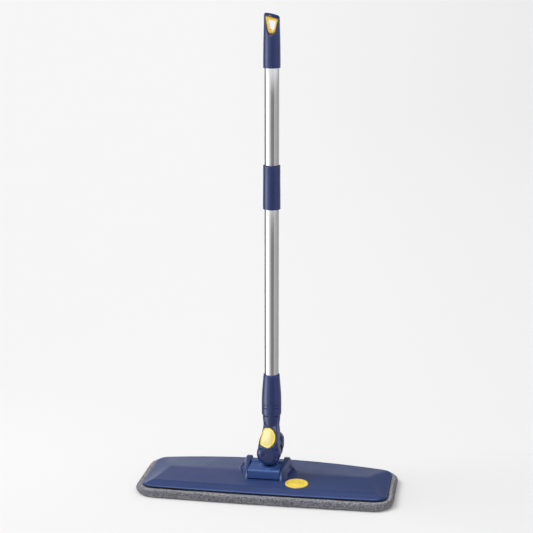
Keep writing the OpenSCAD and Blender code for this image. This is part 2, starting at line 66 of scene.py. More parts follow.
# pole: radii, and heights from the floor
TUBE_INNER, TUBE_OUTER = 10.2, 11.0
BORE = TUBE_OUTER + 0.05
RING_BOTTOM, RING_TOP = 131.3, 136.2
BASE_RADIUS = 15.4
SLEEVE_TOP = 184.0
COLLAR_BOTTOM, COLLAR_TOP = 444.4, 511.5
TUBE_JOINT = (COLLAR_BOTTOM + COLLAR_TOP) / 2
TUBE_GAP = 1.05    # each tube stops this far from the joint
GRIP_BOTTOM = COLLAR_TOP + 144.6
GRIP_TOP = GRIP_BOTTOM + 80.6
HANG_Z = GRIP_TOP - 20.7

# head plate: bowed long edges; the bow adds to the edge in the middle of the length
HALF_LENGTH = 191.0
FRONT_Y, FRONT_BOW = -66.65, 3.1
REAR_Y, REAR_BOW = 56.65, 23.8
PLATE_CORNER = 19.2
PLATE_Z = 20.5
PLATE_CORE_X = 118.0   # half length of the core line that insets run towards

# pad: the plate outline grown, and shifted towards the front
PAD_GROW, PAD_SHIFT, PAD_CORNER = 9.2, 5.6, 32.0
PAD_BOTTOM, PAD_TOP = 0.35, 10.9


# ------------------------------------------------------------------ mesh helpers
def mesh_object(name, points, faces):
    """Smooth-shaded object from points in metres."""
    mesh = bpy.data.meshes.new(name)
    mesh.from_pydata([tuple(p) for p in np.asarray(points, float)], [],
                     [tuple(f) for f in faces])
    mesh.validate(clean_customdata=False)
    mesh.update()
    mesh.polygons.foreach_set("use_smooth", [True] * len(mesh.polygons))
    ob = bpy.data.objects.new(name, mesh)
    scene.collection.objects.link(ob)
    return ob


def face_outward(ob):
    bm = bmesh.new()
    bm.from_mesh(ob.data)
    bmesh.ops.recalc_face_normals(bm, faces=bm.faces)
    bm.to_mesh(ob.data)
    bm.free()
    return ob


def crease(ob, degrees):
    """Smooth shading that keeps edges steeper than the angle crisp."""
    bm = bmesh.new()
    bm.from_mesh(ob.data)
    for edge in bm.edges:
        if len(edge.link_faces) == 2:
            edge.smooth = edge.calc_face_angle(0.0) < math.radians(degrees)
    for face in bm.faces:
        face.smooth = True
    bm.to_mesh(ob.data)
    bm.free()


def join(objects, name):
    """All meshes in the first object; the others are removed."""
    base = objects[0]
    bm = bmesh.new()
    for ob in objects:
        bm.from_mesh(ob.data)
    bm.to_mesh(base.data)
    bm.free()
    base.data.update()
    for ob in objects[1:]:
        bpy.data.objects.remove(ob)
    base.name = name
    base.data.name = name
    return base


def bake(ob):
    """Modifiers written into the mesh."""
    depsgraph = bpy.context.evaluated_depsgraph_get()
    depsgraph.update()
    mesh = bpy.data.meshes.new_from_object(ob.evaluated_get(depsgraph))
    ob.modifiers.clear()
    old = ob.data
    ob.data = mesh
    bpy.data.meshes.remove(old)


def subtract(ob, cutter):
    modifier = ob.modifiers.new("b", "BOOLEAN")
    modifier.operation = "DIFFERENCE"
    modifier.object = cutter
    modifier.solver = "EXACT"
    bake(ob)
    bpy.data.objects.remove(cutter)


def vertex_points(ob):
    return np.array([v.co[:] for v in ob.data.vertices])


def point_attribute(ob, name, values):
    attribute = ob.data.attributes.new(name, "FLOAT", "POINT")
    attribute.data.foreach_set("value", values)


def ring_mesh(name, rings, closed=False):
    """Skin over (n, 3) loops in mm; the end loops are fanned shut unless the skin is closed."""
    n = len(rings[0])
    points = list(map(tuple, np.concatenate(rings) * MM))
    faces = []
    for k in range(len(rings) if closed else len(rings) - 1):
        a, b = k * n, (k + 1) % len(rings) * n
        for i in range(n):
            j = (i + 1) % n
            faces.append((a + i, a + j, b + j, b + i))
    if not closed:
        for k, flip in ((0, True), (len(rings) - 1, False)):
            points.append(tuple(np.mean(rings[k], axis=0) * MM))
            tip = len(points) - 1
            a = k * n
            for i in range(n):
                j = (i + 1) % n
                faces.append((tip, a + j, a + i) if flip else (tip, a + i, a + j))
    return face_outward(mesh_object(name, points, faces))


def rounded(corners, radius, steps):
    """Closed profile with its corners rounded.

    Corners are (x, y[, factor]); the factor multiplies the radius, and 0 keeps it sharp.
    """
    out = []
    for i, corner in enumerate(corners):
        point = np.array(corner[:2], float)
        factor = corner[2] if len(corner) > 2 else 1.0
        if factor == 0:
            out.append(tuple(point))
            continue
        before = np.array(corners[i - 1][:2], float) - point
        after = np.array(corners[(i + 1) % len(corners)][:2], float) - point
        before_length, after_length = np.linalg.norm(before), np.linalg.norm(after)
        before, after = before / before_length, after / after_length
        angle = math.acos(np.clip(before @ after, -1, 1))
        if angle > math.radians(176):
            out.append(tuple(point))
            continue
        reach = min(radius * factor / math.tan(angle / 2),
                    0.48 * before_length, 0.48 * after_length)
        fillet = reach * math.tan(angle / 2)
        bisector = (before + after) / np.linalg.norm(before + after)
        centre = point + bisector * fillet / math.sin(angle / 2)
        start = point + before * reach - centre
        end = point + after * reach - centre
        first = math.atan2(start[1], start[0])
        turn = (math.atan2(end[1], end[0]) - first + math.pi) % (2 * math.pi) - math.pi
        for j in range(steps + 1):
            a = first + turn * j / steps
            out.append((centre[0] + fillet * math.cos(a), centre[1] + fillet * math.sin(a)))
    return out


def lathe(name, profile, sides=160, rounding=0.5, steps=5, centre=(0, 0, 0), crease_angle=35):
    """Closed profile of (radius, z[, rounding factor]) turned about Z; radius 0 is the axis."""
    points, faces, rows = [], [], []
    for radius, z in rounded(profile, rounding, steps):
        start = len(points)
        if radius < 1e-6:
            rows.append([start] * sides)
            points.append((0, 0, z * MM))
            continue
        rows.append(list(range(start, start + sides)))
        for i in range(sides):
            t = 2 * math.pi * i / sides
            points.append((radius * math.cos(t) * MM, radius * math.sin(t) * MM, z * MM))
    for row, following in zip(rows, rows[1:] + rows[:1]):
        if row[0] == row[1] and following[0] == following[1]:
            continue
        for i in range(sides):
            j = (i + 1) % sides
            # repeated points on the axis drop out and leave a triangle
            face = list(dict.fromkeys((row[i], row[j], following[j], following[i])))
            if len(face) > 2:
                faces.append(face)
    ob = face_outward(mesh_object(name, points, faces))
    ob.data.transform(Matrix.Translation(Vector(centre) * MM))
    crease(ob, crease_angle)
    return ob


def soften(node, name, iterations):
    """Moulded form from the CAD solid: fused, with its edges rounded off."""
    source = frame["nodes"][node]
    ob = bpy.data.objects.new(name, source.data.copy())
    scene.collection.objects.link(ob)
    ob.data.transform(source.matrix_world)
    remesh = ob.modifiers.new("r", "REMESH")
    remesh.mode = "VOXEL"
    remesh.voxel_size = 0.45 * MM * 1
    remesh.use_smooth_shade = True
    smooth = ob.modifiers.new("s", "SMOOTH")
    smooth.factor = 0.5
    smooth.iterations = iterations
    bake(ob)
    ob.data.polygons.foreach_set("use_smooth", [True] * len(ob.data.polygons))
    return ob


# ------------------------------------------------------------------ curve helpers
def station(table, at):
    """Value read between stations of (place, value)."""
    return np.interp(at, *np.transpose(table))


def running_length(points):
    return np.r_[0, np.cumsum(np.linalg.norm(np.diff(points, axis=0), axis=1))]


def resample(loop, count):
    """Closed loop with points of equal spacing."""
    loop = np.vstack([loop, loop[:1]])
    run = running_length(loop)
    places = np.linspace(0, run[-1], count, endpoint=False)
    return np.c_[np.interp(places, run, loop[:, 0]), np.interp(places, run, loop[:, 1])]


def level(loop, z):
    """(x, y) loop at a height, or at a height for each point."""
    return np.c_[loop, np.full(len(loop), z)]


def upright(loop, y):
    """(x, z) loop stood up at a place in Y."""
    return np.c_[loop[:, 0], np.full(len(loop), y), loop[:, 1]]


def outline(grow, shift, corner, count):
    """Head outline of evenly spaced points from the middle of the front, counterclockwise."""
    half_length = HALF_LENGTH + grow
    front_radius = (half_length ** 2 + FRONT_BOW ** 2) / (2 * FRONT_BOW)
    rear_radius = (half_length ** 2 + REAR_BOW ** 2) / (2 * REAR_BOW)
    front_centre = FRONT_Y - grow - shift - FRONT_BOW + front_radius
    rear_centre = REAR_Y + grow - shift + REAR_BOW - rear_radius
    corner_x = half_length - corner
    front_y = front_centre - math.sqrt((front_radius - corner) ** 2 - corner_x ** 2)
    rear_y = rear_centre + math.sqrt((rear_radius - corner) ** 2 - corner_x ** 2)

    # right half, from the middle of the front edge round to the middle of the rear edge
    t = np.linspace(0, math.atan2(corner_x, front_centre - front_y), 200)
    half = [np.c_[front_radius * np.sin(t), front_centre - front_radius * np.cos(t)]]
    t = np.linspace(math.atan2(front_y - front_centre, corner_x), 0, 60)[1:]
    half.append(np.c_[corner_x + corner * np.cos(t), front_y + corner * np.sin(t)])
    t = np.linspace(0, math.atan2(rear_y - rear_centre, corner_x), 60)
    half.append(np.c_[corner_x + corner * np.cos(t), rear_y + corner * np.sin(t)])
    t = np.linspace(math.atan2(corner_x, rear_y - rear_centre), 0, 240)[1:]
    half.append(np.c_[rear_radius * np.sin(t), rear_centre + rear_radius * np.cos(t)])
    half = np.concatenate(half)

    run = running_length(half)
    places = np.linspace(0, run[-1], count // 2 + 1)
    x = np.interp(places, run, half[:, 0])
    y = np.interp(places, run, half[:, 1])
    return np.r_[np.c_[x, y], np.c_[-x[1:-1][::-1], y[1:-1][::-1]]]


def core_line(edge):
    """Point of the lengthwise core line that belongs to each edge point."""
    return np.c_[np.clip(edge[:, 0], -PLATE_CORE_X, PLATE_CORE_X), np.zeros(len(edge))]


def inset(edge, amount):
    """Edge moved towards the core line by a distance."""
    core = core_line(edge)
    fraction = 1 - amount / np.linalg.norm(edge - core, axis=1)
    return core + (edge - core) * fraction[:, None]


def shrink(edge, fraction):
    """Edge at a fraction of its distance from the core line."""
    core = core_line(edge)
    return core + (edge - core) * fraction


def inside(points, polygon):
    """Whether each (x, y) point lies in the polygon, by crossings."""
    x, y = points[:, 0], points[:, 1]
    result = np.zeros(len(points), bool)
    for (x1, y1), (x0, y0) in zip(polygon, np.roll(polygon, 1, 0)):
        crossing_x = (x0 - x1) * (y - y1) / (y0 - y1 + 1e-12) + x1
        result ^= ((y1 > y) != (y0 > y)) & (x < crossing_x)
    return result


def smooth_min(a, b, width):
    h = np.clip(0.5 + 0.5 * (b - a) / width, 0, 1)
    return b * (1 - h) + a * h - width * h * (1 - h)


# ------------------------------------------------------------------ shader helpers
def wire(tree, node, inputs):
    """Inputs linked to sockets, or set to plain values."""
    for key, value in inputs.items():
        if isinstance(value, bpy.types.NodeSocket):
            tree.links.new(value, node.inputs[key])
        else:
            node.inputs[key].default_value = value


def add_node(tree, kind, inputs, output=0, **settings):
    """New node, wired; returns one of its outputs."""
    node = tree.nodes.new("ShaderNode" + kind)
    for key, value in settings.items():
        setattr(node, key, value)
    wire(tree, node, inputs)
    return node.outputs[output]


def new_material(name):
    material = bpy.data.materials.new(name)
    material.use_nodes = True
    tree = material.node_tree
    tree.nodes.clear()
    output = tree.nodes.new("ShaderNodeOutputMaterial")
    shader = tree.nodes.new("ShaderNodeBsdfPrincipled")
    tree.links.new(shader.outputs[0], output.inputs[0])
    return material, tree, shader, add_node(tree, "TexCoord", {}, "Object")


def noise(tree, coords, scale, detail=4, roughness=0.5, distortion=0.0, stretch=None):
    if stretch:
        coords = add_node(tree, "Mapping", {0: coords, "Scale": stretch})
    return add_node(tree, "TexNoise", {"Vector": coords, "Scale": scale, "Detail": detail,
                                       "Roughness": roughness, "Distortion": distortion})


def ramp(tree, source, stops):
    """Colour ramp of (position, rgb) stops."""
    node = tree.nodes.new("ShaderNodeValToRGB")
    elements = node.color_ramp.elements
    for element, (position, color) in zip(list(elements), (stops[0], stops[-1])):
        element.position = position
        element.color = (*color, 1)
    for position, color in stops[1:-1]:
        elements.new(position).color = (*color, 1)
    tree.links.new(source, node.inputs[0])
    return node.outputs[0]


def bump(tree, height, strength, distance, **below):
    """Bump normal; a Normal given is the one it builds on."""
    return add_node(tree, "Bump", {"Strength": strength, "Distance": distance,
                                   "Height": height, **below})


def remap(tree, source, low, high, start=0.35, end=0.65):
    """Source from start..end mapped to low..high."""
    return add_node(tree, "MapRange", {"From Min": start, "From Max": end, "To Min": low,
                                       "To Max": high, "Value": source})


def calc(tree, operation, *values):
    return add_node(tree, "Math", dict(enumerate(values)), operation=operation)


def dot(tree, coords, vector):
    return add_node(tree, "VectorMath", {0: coords, 1: vector}, "Value",
                    operation="DOT_PRODUCT")


def mix_color(tree, factor, a, b, blend_type="MIX"):
    """Mix of two colours, each a socket or an rgb tuple."""
    a, b = (v if isinstance(v, bpy.types.NodeSocket) else (*v, 1) for v in (a, b))
    return add_node(tree, "Mix", {0: factor, 6: a, 7: b}, 2,
                    data_type="RGBA", blend_type=blend_type)


def attribute(tree, name):
    return add_node(tree, "Attribute", {}, "Fac", attribute_name=name)


# ------------------------------------------------------------------ materials
def plastic(name, color, roughness, coat, grain=0.05, variation=0.05, edge_color=None, painted_glow=0.0):
    """Moulded plastic: grain is the fine bump strength, variation the drift of the colour."""
    material, tree, shader, coords = new_material(name)
    darker = tuple(max(0, v * (1 - variation)) for v in color)
    lighter = tuple(min(1, v * (1 + variation) + 0.001) for v in color)
    body = ramp(tree, noise(tree, coords, scale=14, detail=3), [(0.3, darker), (0.7, lighter)])
    if edge_color is None:
        edge_color = [min(1, v * 1.5 + 0.02) for v in color]
    # edges rubbed a little lighter; "rim" marks painted light on rims: a brighter painted
    # highlight on the plate rim, and the deeper colour kept on the button's shaded rim and flank
    pointiness = add_node(tree, "NewGeometry", {}, "Pointiness")
    worn = remap(tree, pointiness, low=0.0, high=0.25, start=0.53, end=0.62)
    edge = calc(tree, "MAXIMUM", worn, attribute(tree, "rim"))
    body = mix_color(tree, edge, body, edge_color)
    # a second attribute marks painted highlights on thin front rims, mixed towards a pale colour
    pale = (color[0] * 2 + 0.13, color[1] * 2 + 0.16, color[2] * 1.3 + 0.22)
    # handling marks in the gloss
    marks = noise(tree, coords, scale=45, distortion=0.4)
    wire(tree, shader, {
        "Base Color": mix_color(tree, attribute(tree, "painted_highlight"), body, pale),
        "Roughness": remap(tree, marks, roughness * 0.92, roughness * 1.1),
        "Normal": bump(tree, noise(tree, coords, scale=2600, detail=2), grain, distance=0.0001),
        "Coat Weight": coat,
        "Coat Roughness": 0.12,
        "Specular IOR Level": 0.5})
    if painted_glow:
        # painted glow: emission that brightens the pale moulding, though it is no lamp
        wire(tree, shader, {"Emission Color": body, "Emission Strength": painted_glow})
    return material


def metal(name, color, roughness, brushed):
    """Drawn metal: fine lines along Z, and faint smudges."""
    material, tree, shader, coords = new_material(name)
    lines = noise(tree, coords, scale=900, detail=3, stretch=(1, 1, 0.02))
    smudges = noise(tree, coords, scale=30, detail=5, roughness=0.6, distortion=0.4)
    gloss = remap(tree, smudges, roughness * 0.8, roughness * 1.25)
    wire(tree, shader, {
        "Metallic": 1.0,
        "Base Color": ramp(tree, smudges, [(0.3, tuple(v * 0.95 for v in color)), (0.7, color)]),
        "Roughness": calc(tree, "MULTIPLY_ADD", lines, 0.05, gloss),
        "Normal": bump(tree, lines, brushed, distance=0.0001)})
    return material


def felt(name, dark, middle, light, scale, relief=0.9):
    """Fibrous cloth in three tones; scale sets the tufts, relief their bump strength."""
    material, tree, shader, coords = new_material(name)
    tufts = noise(tree, coords, scale, detail=6, roughness=0.62, distortion=0.8)
    fuzz = noise(tree, coords, scale * 3.1, roughness=0.6, distortion=1.5)
    patches = noise(tree, coords, scale=22, detail=3)
    tone = calc(tree, "MULTIPLY_ADD", fuzz, 0.55,
                calc(tree, "MULTIPLY_ADD", tufts, 0.62, -0.06))
    color = ramp(tree, tone, [(0.42, dark), (0.5, middle), (0.60, light)])
    dirt = ramp(tree, patches, [(0.3, (0.75, 0.75, 0.77)), (0.7, (1, 1, 1))])
    color = mix_color(tree, 0.35, color, dirt, "MULTIPLY")
    # "shade" marks painted shade in the crease under the plate and along the foot of the pad
    color = mix_color(tree, attribute(tree, "shade"), color, (0.010, 0.010, 0.014))
    normal = bump(tree, tufts, relief, distance=0.0012)
    # crossing fibres
    for stretch in ((1, 0.12, 0.4), (0.12, 1, 0.4)):
        fibres = noise(tree, coords, scale=1400, detail=3, roughness=0.6, distortion=0.5,
                       stretch=stretch)
        normal = bump(tree, fibres, strength=0.35, distance=0.0005, Normal=normal)
    wire(tree, shader, {
        "Base Color": color,
        "Roughness": 0.95,
        "Sheen Weight": 0.35,
        "Sheen Roughness": 0.5,
        "Specular IOR Level": 0.15,
        "Normal": normal})
    return material


MATERIAL_TABLE = [
    (plastic, "navy", dict(color=(0.0155, 0.034, 0.146), roughness=0.23, coat=0.25,
                           edge_color=(0.03, 0.07, 0.26))),
    (plastic, "blue", dict(color=(0.034, 0.094, 0.310), roughness=0.33, coat=0.15,
                           edge_color=(0.07, 0.16, 0.48))),
    # plate: its edge colour is also the painted highlight on the rim
    (plastic, "plate", dict(color=(0.033, 0.058, 0.176), roughness=0.34, coat=0.08, grain=0.08,
                            variation=0.03, edge_color=(0.026, 0.072, 0.26))),
    (plastic, "navy_pin", dict(color=(0.0165, 0.034, 0.130), roughness=0.29, coat=0.25)),
    (plastic, "dark", dict(color=(0.016, 0.022, 0.062), roughness=0.45, coat=0.0, grain=0.15)),
    (plastic, "yellow", dict(color=(0.95, 0.70, 0.075), roughness=0.24, coat=0.7, grain=0.02,
                             variation=0.03, edge_color=(0.98, 0.80, 0.16), painted_glow=0.07)),
    # button: the pale cream base is a painted highlight on the face; the deeper yellow edge
    # colour is kept on the rim and the shaded flank
    (plastic, "button", dict(color=(0.98, 0.86, 0.36), roughness=0.24, coat=0.7, grain=0.02,
                             variation=0.03, edge_color=(0.95, 0.68, 0.06), painted_glow=0.09)),
    (plastic, "liner", dict(color=(0.98, 0.62, 0.055), roughness=0.26, coat=0.6, grain=0.02,
                            variation=0.03, edge_color=(1.0, 0.74, 0.14), painted_glow=0.16)),
    (metal, "steel", dict(color=(0.78, 0.78, 0.79), roughness=0.085, brushed=0.03)),
    (metal, "zinc", dict(color=(0.62, 0.63, 0.66), roughness=0.3, brushed=0.1)),
    (plastic, "rubber", dict(color=(0.02, 0.02, 0.024), roughness=0.75, coat=0.0, grain=0.3)),
    (felt, "hook", dict(dark=(0.01, 0.012, 0.02), middle=(0.03, 0.034, 0.05),
                        light=(0.07, 0.075, 0.1), scale=900)),
    (felt, "loop", dict(dark=(0.22, 0.23, 0.26), middle=(0.4, 0.41, 0.44),
                        light=(0.6, 0.6, 0.62), scale=700)),
    (felt, "foam", dict(dark=(0.4, 0.41, 0.43), middle=(0.6, 0.61, 0.63),
                        light=(0.75, 0.75, 0.77), scale=500)),
    (felt, "felt", dict(dark=(0.030, 0.032, 0.058), middle=(0.172, 0.176, 0.212),
                        light=(0.48, 0.475, 0.495), scale=420)),
    (felt, "thread", dict(dark=(0.22, 0.23, 0.27), middle=(0.32, 0.33, 0.37),
                          light=(0.42, 0.42, 0.46), scale=2500, relief=0.3)),
]
MATERIALS = {name: make(name, **settings) for make, name, settings in MATERIAL_TABLE}


def place(ob, body, material, *replaced):
    """Give a piece its material, the body it moves with, and the CAD pieces it stands for."""
    ob.data.materials.clear()
    ob.data.materials.append(MATERIALS[material])
    if body == "head":
        ob.data.transform(Matrix.Translation((HEAD_X * MM, 0, 0)))
    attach(ob, body)
    if replaced:
        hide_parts(*replaced)


# CAD pieces that are shown as they are
for entry in frame["record"]["subparts"]:
    part = frame["nodes"][entry["node"]]
    part.data.materials.clear()
    part.data.materials.append(MATERIALS[entry["material_slot"]])


# ------------------------------------------------------------------ pole
def tube(name, bottom, top):
    profile = [(TUBE_INNER, bottom), (TUBE_OUTER, bottom), (TUBE_OUTER, top), (TUBE_INNER, top)]
    return lathe(name, profile, sides=192, rounding=0.15, steps=3)


def collar():
    profile = [
        (BORE, COLLAR_BOTTOM + 0.6), (11.6, COLLAR_BOTTOM, 0.4), (13.3, COLLAR_BOTTOM, 3.4),
        (13.35, COLLAR_BOTTOM + 15.2, 0.2), (13.02, COLLAR_TOP - 24, 0.2),
        (13.0, COLLAR_TOP, 3.4), (11.6, COLLAR_TOP, 0.4), (BORE, COLLAR_TOP - 0.6)]
    return lathe("collar_v", profile, rounding=0.55, steps=6)


def sleeve():
    """Socket sleeve, widening from the tube down to the ring."""
    profile = [
        (BORE, RING_TOP + 20), (BORE, SLEEVE_TOP - 0.4), (11.35, SLEEVE_TOP, 0.8),
        (12.4, SLEEVE_TOP - 0.1, 0.9), (12.95, SLEEVE_TOP - 4, 4), (BASE_RADIUS - 1.75, 170, 8),
        (BASE_RADIUS - 1.0, 161, 8), (BASE_RADIUS - 0.4, 153, 8), (BASE_RADIUS - 0.08, 145, 6),
        (BASE_RADIUS, RING_TOP + 3, 1), (BASE_RADIUS - 0.02, RING_TOP + 0.12, 1.0),
        (12.7, RING_TOP + 0.12, 0.2), (12.7, RING_TOP + 18, 0.2)]
    return lathe("sleeve_v", profile, rounding=0.45)


def ring():
    inner, outer = 12.66, BASE_RADIUS - 0.04
    profile = [(inner, RING_BOTTOM), (outer, RING_BOTTOM, 1.0),
               (outer, RING_TOP - 0.1, 1.0), (inner, RING_TOP - 0.1)]
    return lathe("ring_v", profile, rounding=0.4)


# ------------------------------------------------------------------ grip
# (radius, height above the grip's lower end): bore, lower rim and the groove above it
GRIP_FOOT = [
    (11.06, 30), (11.06, 0.5), (11.8, 0.02), (12.1, 0.0), (12.4, 0.12), (12.7, 0.4),
    (12.9, 0.8), (13.0, 1.3), (13.0, 2.1), (12.94, 2.5), (12.7, 2.62), (12.66, 2.85),
    (12.7, 3.1), (12.9, 3.3), (12.96, 3.8)]
GRIP_RADIUS = 12.96
GRIP_TAPER, GRIP_TAPER_CUBIC = 0.35, 0.75    # radius lost up the side
GRIP_TOP_RADIUS = GRIP_RADIUS - GRIP_TAPER - GRIP_TAPER_CUBIC
GRIP_TOP_SLOPE = math.tan(math.radians(12))  # the top falls towards +X
GRIP_TOP_EDGE = 4.0                          # rounding of the top edge

# hanging opening through the grip and the hole in its liner: (x, z, corner radius)
OPENING = np.array(rounded([(-9.15, HANG_Z + 17.0, 2.4), (-4.4, HANG_Z - 9.2, 5.2),
                            (5.6, HANG_Z - 9.2, 5.2), (10.0, HANG_Z + 11.6, 2.2)], 1.0, 10))
LINER_HOLE = np.array(rounded([(-6.5, HANG_Z + 11.4, 1.5), (-2.7, HANG_Z - 4.4, 3.4),
                               (4.2, HANG_Z - 4.4, 3.4), (6.8, HANG_Z + 8.6, 1.5)], 1.0, 10))


def grip_blank():
    """Grip without its opening: foot, tapered side, slanted top with a round edge."""
    angles = np.linspace(0, 2 * math.pi, 168, endpoint=False)

    def circle(radius):
        return np.c_[radius * np.cos(angles), radius * np.sin(angles)]

    rings = [level(circle(radius), GRIP_BOTTOM + z) for radius, z in GRIP_FOOT]
    side_bottom, side_top = GRIP_BOTTOM + 4, GRIP_TOP - 18
    for t in np.linspace(0, 1, 30)[1:]:
        radius = GRIP_RADIUS - GRIP_TAPER * t - GRIP_TAPER_CUBIC * t ** 3
        rings.append(level(circle(radius), side_bottom + (side_top - side_bottom) * t))
    middle_z = GRIP_TOP - 2.0
    flat = GRIP_TOP_RADIUS - GRIP_TOP_EDGE
    for a in np.linspace(0, math.pi / 2, 16)[1:]:
        loop = circle(flat + GRIP_TOP_EDGE * math.cos(a))
        top = middle_z - GRIP_TOP_SLOPE * loop[:, 0]
        rings.append(level(loop, top - GRIP_TOP_EDGE + GRIP_TOP_EDGE * math.sin(a)))
    for k in np.linspace(1, 0, 9)[1:-1]:
        loop = circle(flat * k)
        crown = 0.5 * (1 - k * k)
        rings.append(level(loop, middle_z - GRIP_TOP_SLOPE * loop[:, 0] + crown))
    return ring_mesh("grip_v", rings)


def opening_cutter():
    """Cutter along Y, flaring towards both faces as a soft scoop."""
    half_depth, straight, flare = 15, 5.5, 6.0
    loop = resample(OPENING, 120)
    out = loop - np.array([0.25, HANG_Z + 2])
    out /= np.linalg.norm(out, axis=1)[:, None]
    # widest at the round foot, least at the slanted top
    share = np.c_[np.full(len(out), 0.7), np.where(out[:, 1] > 0, 0.5, 1.0)]
    rings = []
    for y in np.linspace(-half_depth, half_depth, 61):
        past = max(abs(y) - straight, 0.0) / (half_depth - straight)
        rings.append(upright(loop + out * past ** 2 * flare * share, y))
    return ring_mesh("cut", rings)


def grip():
    ob = grip_blank()
    subtract(ob, opening_cutter())
    crease(ob, 50)
    bevel = ob.modifiers.new("bv", "BEVEL")
    bevel.width = 0.5 * MM
    bevel.segments = 2
    bevel.limit_method = "ANGLE"
    bevel.angle_limit = math.radians(50)
    bake(ob)
    crease(ob, 60)
    return ob


def by_angle(loop, centre, count=140):
    """Loop read at equal angles about a centre."""
    angles = np.arctan2(loop[:, 1] - centre[1], loop[:, 0] - centre[0])
    order = np.argsort(angles)
    angles, loop = angles[order], loop[order]
    at = np.linspace(-math.pi, math.pi, count, endpoint=False)
    angles = np.r_[angles - 2 * math.pi, angles, angles + 2 * math.pi]
    loop = np.vstack([loop, loop, loop])
    return np.c_[np.interp(at, angles, loop[:, 0]), np.interp(at, angles, loop[:, 1])]


def liner():
    """Ring lining the opening, with rounded rims."""
    half_width, bulge, clearance = 6.9, 0.9, 0.03
    wall_end = half_width - 1.2
    centre = np.array([0.5, HANG_Z + 1.0])
    outer = by_angle(resample(OPENING, 900), centre)
    inner = by_angle(resample(LINER_HOLE, 900), centre)
    outward = (outer - centre) / np.linalg.norm(outer - centre, axis=1)[:, None]
    outer = outer - outward * clearance
    # section: (share of the way from the outer to the inner wall, y)
    rim = [(0.5 - 0.5 * math.cos(a), half_width + bulge * math.sin(a))
           for a in np.linspace(0, math.pi, 9)]
    section = [(0.0, -wall_end), (0.0, 0.0), (0.0, wall_end), *rim,
               (1.0, wall_end), (1.0, 0.0), (1.0, -wall_end), *[(1 - s, -y) for s, y in rim]]
    rings = [upright(outer + (inner - outer) * share, y) for share, y in section]
    ob = ring_mesh("liner_v", rings, closed=True)
    crease(ob, 50)
    return ob


# ------------------------------------------------------------------ push-button
# the outline is what lies inside all of these circles: (centre x, centre y, radius)
BUTTON_CIRCLES = [(47.5, -9, 60), (-6.5, 0.5, 17.6), (-2, -2, 18), (6, 16, 32.3)]
# face loops: (inset, z, scale), from the middle of the back to the dish behind the rim
BUTTON_LOOPS = [
    (0.5, -3.4, 0.05), (0.6, -3.4, 0.93), (0.25, -3.3, 1), (0.1, -3.1, 1), (0.02, -2.8, 1),
    (0.0, 0.3, 1), (0.05, 0.75, 1), (0.25, 1.15, 1), (0.6, 1.38, 1), (0.95, 1.42, 1),
    (1.3, 1.36, 1), (1.6, 1.22, 1), (1.85, 1.1, 1), (2.15, 1.06, 1), (2.6, 1.12, 1)]
BUTTON_CROWN = 0.85
BUTTON_Y, BUTTON_Z, BUTTON_TILT = -19.5, 85, 68    # seat on the joint, degrees about X


def button_outline():
    """Four arcs with eased corners, found by halving along rays from the middle."""
    angles = np.linspace(0, 2 * math.pi, 168, endpoint=False)
    rays = np.c_[np.cos(angles), np.sin(angles)]
    low, high = np.zeros(len(rays)), np.full(len(rays), 30.0)
    for _ in range(40):
        radius = (low + high) / 2
        x, y = rays[:, 0] * radius, rays[:, 1] * radius
        within = np.all([np.hypot(x - cx, y - cy) < r for cx, cy, r in BUTTON_CIRCLES], axis=0)
        low = np.where(within, radius, low)
        high = np.where(within, high, radius)
    radius = low
    for _ in range(5):
        radius = (np.roll(radius, 1) + 2 * radius + np.roll(radius, -1)) / 4
    return rays * radius[:, None]


def button_painted_shade(points, edge):
    """Painted shade: deeper colour in the rim and towards the +X flank of the face, the side
    away from the light; the pale middle between is a painted highlight.
    """
    edge_angles = np.arctan2(edge[:, 1], edge[:, 0])
    at = np.linspace(-math.pi, math.pi, 181)
    radii = []
    for angle in at:
        away = np.abs((edge_angles - angle + math.pi) % (2 * math.pi) - math.pi)
        radii.append(np.linalg.norm(edge[np.argmin(away)]))
    x, y, z = points.T
    from_edge = np.interp(np.arctan2(y, x), at, radii) - np.hypot(x, y)
    rim = np.clip(1 - (from_edge - 0.9) / 1.6, 0, 1)
    rim = np.maximum(rim, 0.55 * np.clip((x - 1.0) / 6.0, 0, 1))
    return np.where(z < 0.6, 1.0, rim)


def button():
    edge = button_outline()
    along = np.roll(edge, -1, 0) - np.roll(edge, 1, 0)
    outward = np.c_[along[:, 1], -along[:, 0]] / np.linalg.norm(along, axis=1)[:, None]
    face_inset, face_z, _ = BUTTON_LOOPS[-1]
    crown = [(face_inset, face_z + BUTTON_CROWN * (1 - k * k), max(k, 0.02))
             for k in np.linspace(1, 0, 10)[1:]]
    rings = [level((edge - outward * amount) * scale, z)
             for amount, z, scale in BUTTON_LOOPS + crown]
    ob = ring_mesh("button_v", rings)
    point_attribute(ob, "rim", button_painted_shade(vertex_points(ob) * 1000, edge))
    stem = lathe("stem", [(0, -12.6), (3.2, -12.6), (3.2, -3.2), (0, -3.2)],
                 sides=48, rounding=0.3, steps=3)
    ob = join([ob, stem], "button_v")
    seat = Matrix.Translation((HUB_X * MM, BUTTON_Y * MM, BUTTON_Z * MM))
    ob.data.transform(seat @ Matrix.Rotation(math.radians(BUTTON_TILT), 4, "X"))
    crease(ob, 50)
    return ob


# ------------------------------------------------------------------ head plate
# underside loops from the ceiling out to the lower edge of the rim: (inset, z)
CEILING_Z = 13.6
PLATE_UNDERSIDE = [
    (6.0, CEILING_Z), (2.55, CEILING_Z), (2.5, 13.2), (2.45, 12.0), (2.3, 11.75),
    (2.0, 11.66), (0.9, 11.66), (0.45, 11.74), (0.14, 11.95)]
RIM_Z, RIM_RADIUS = 12.35, 1.0


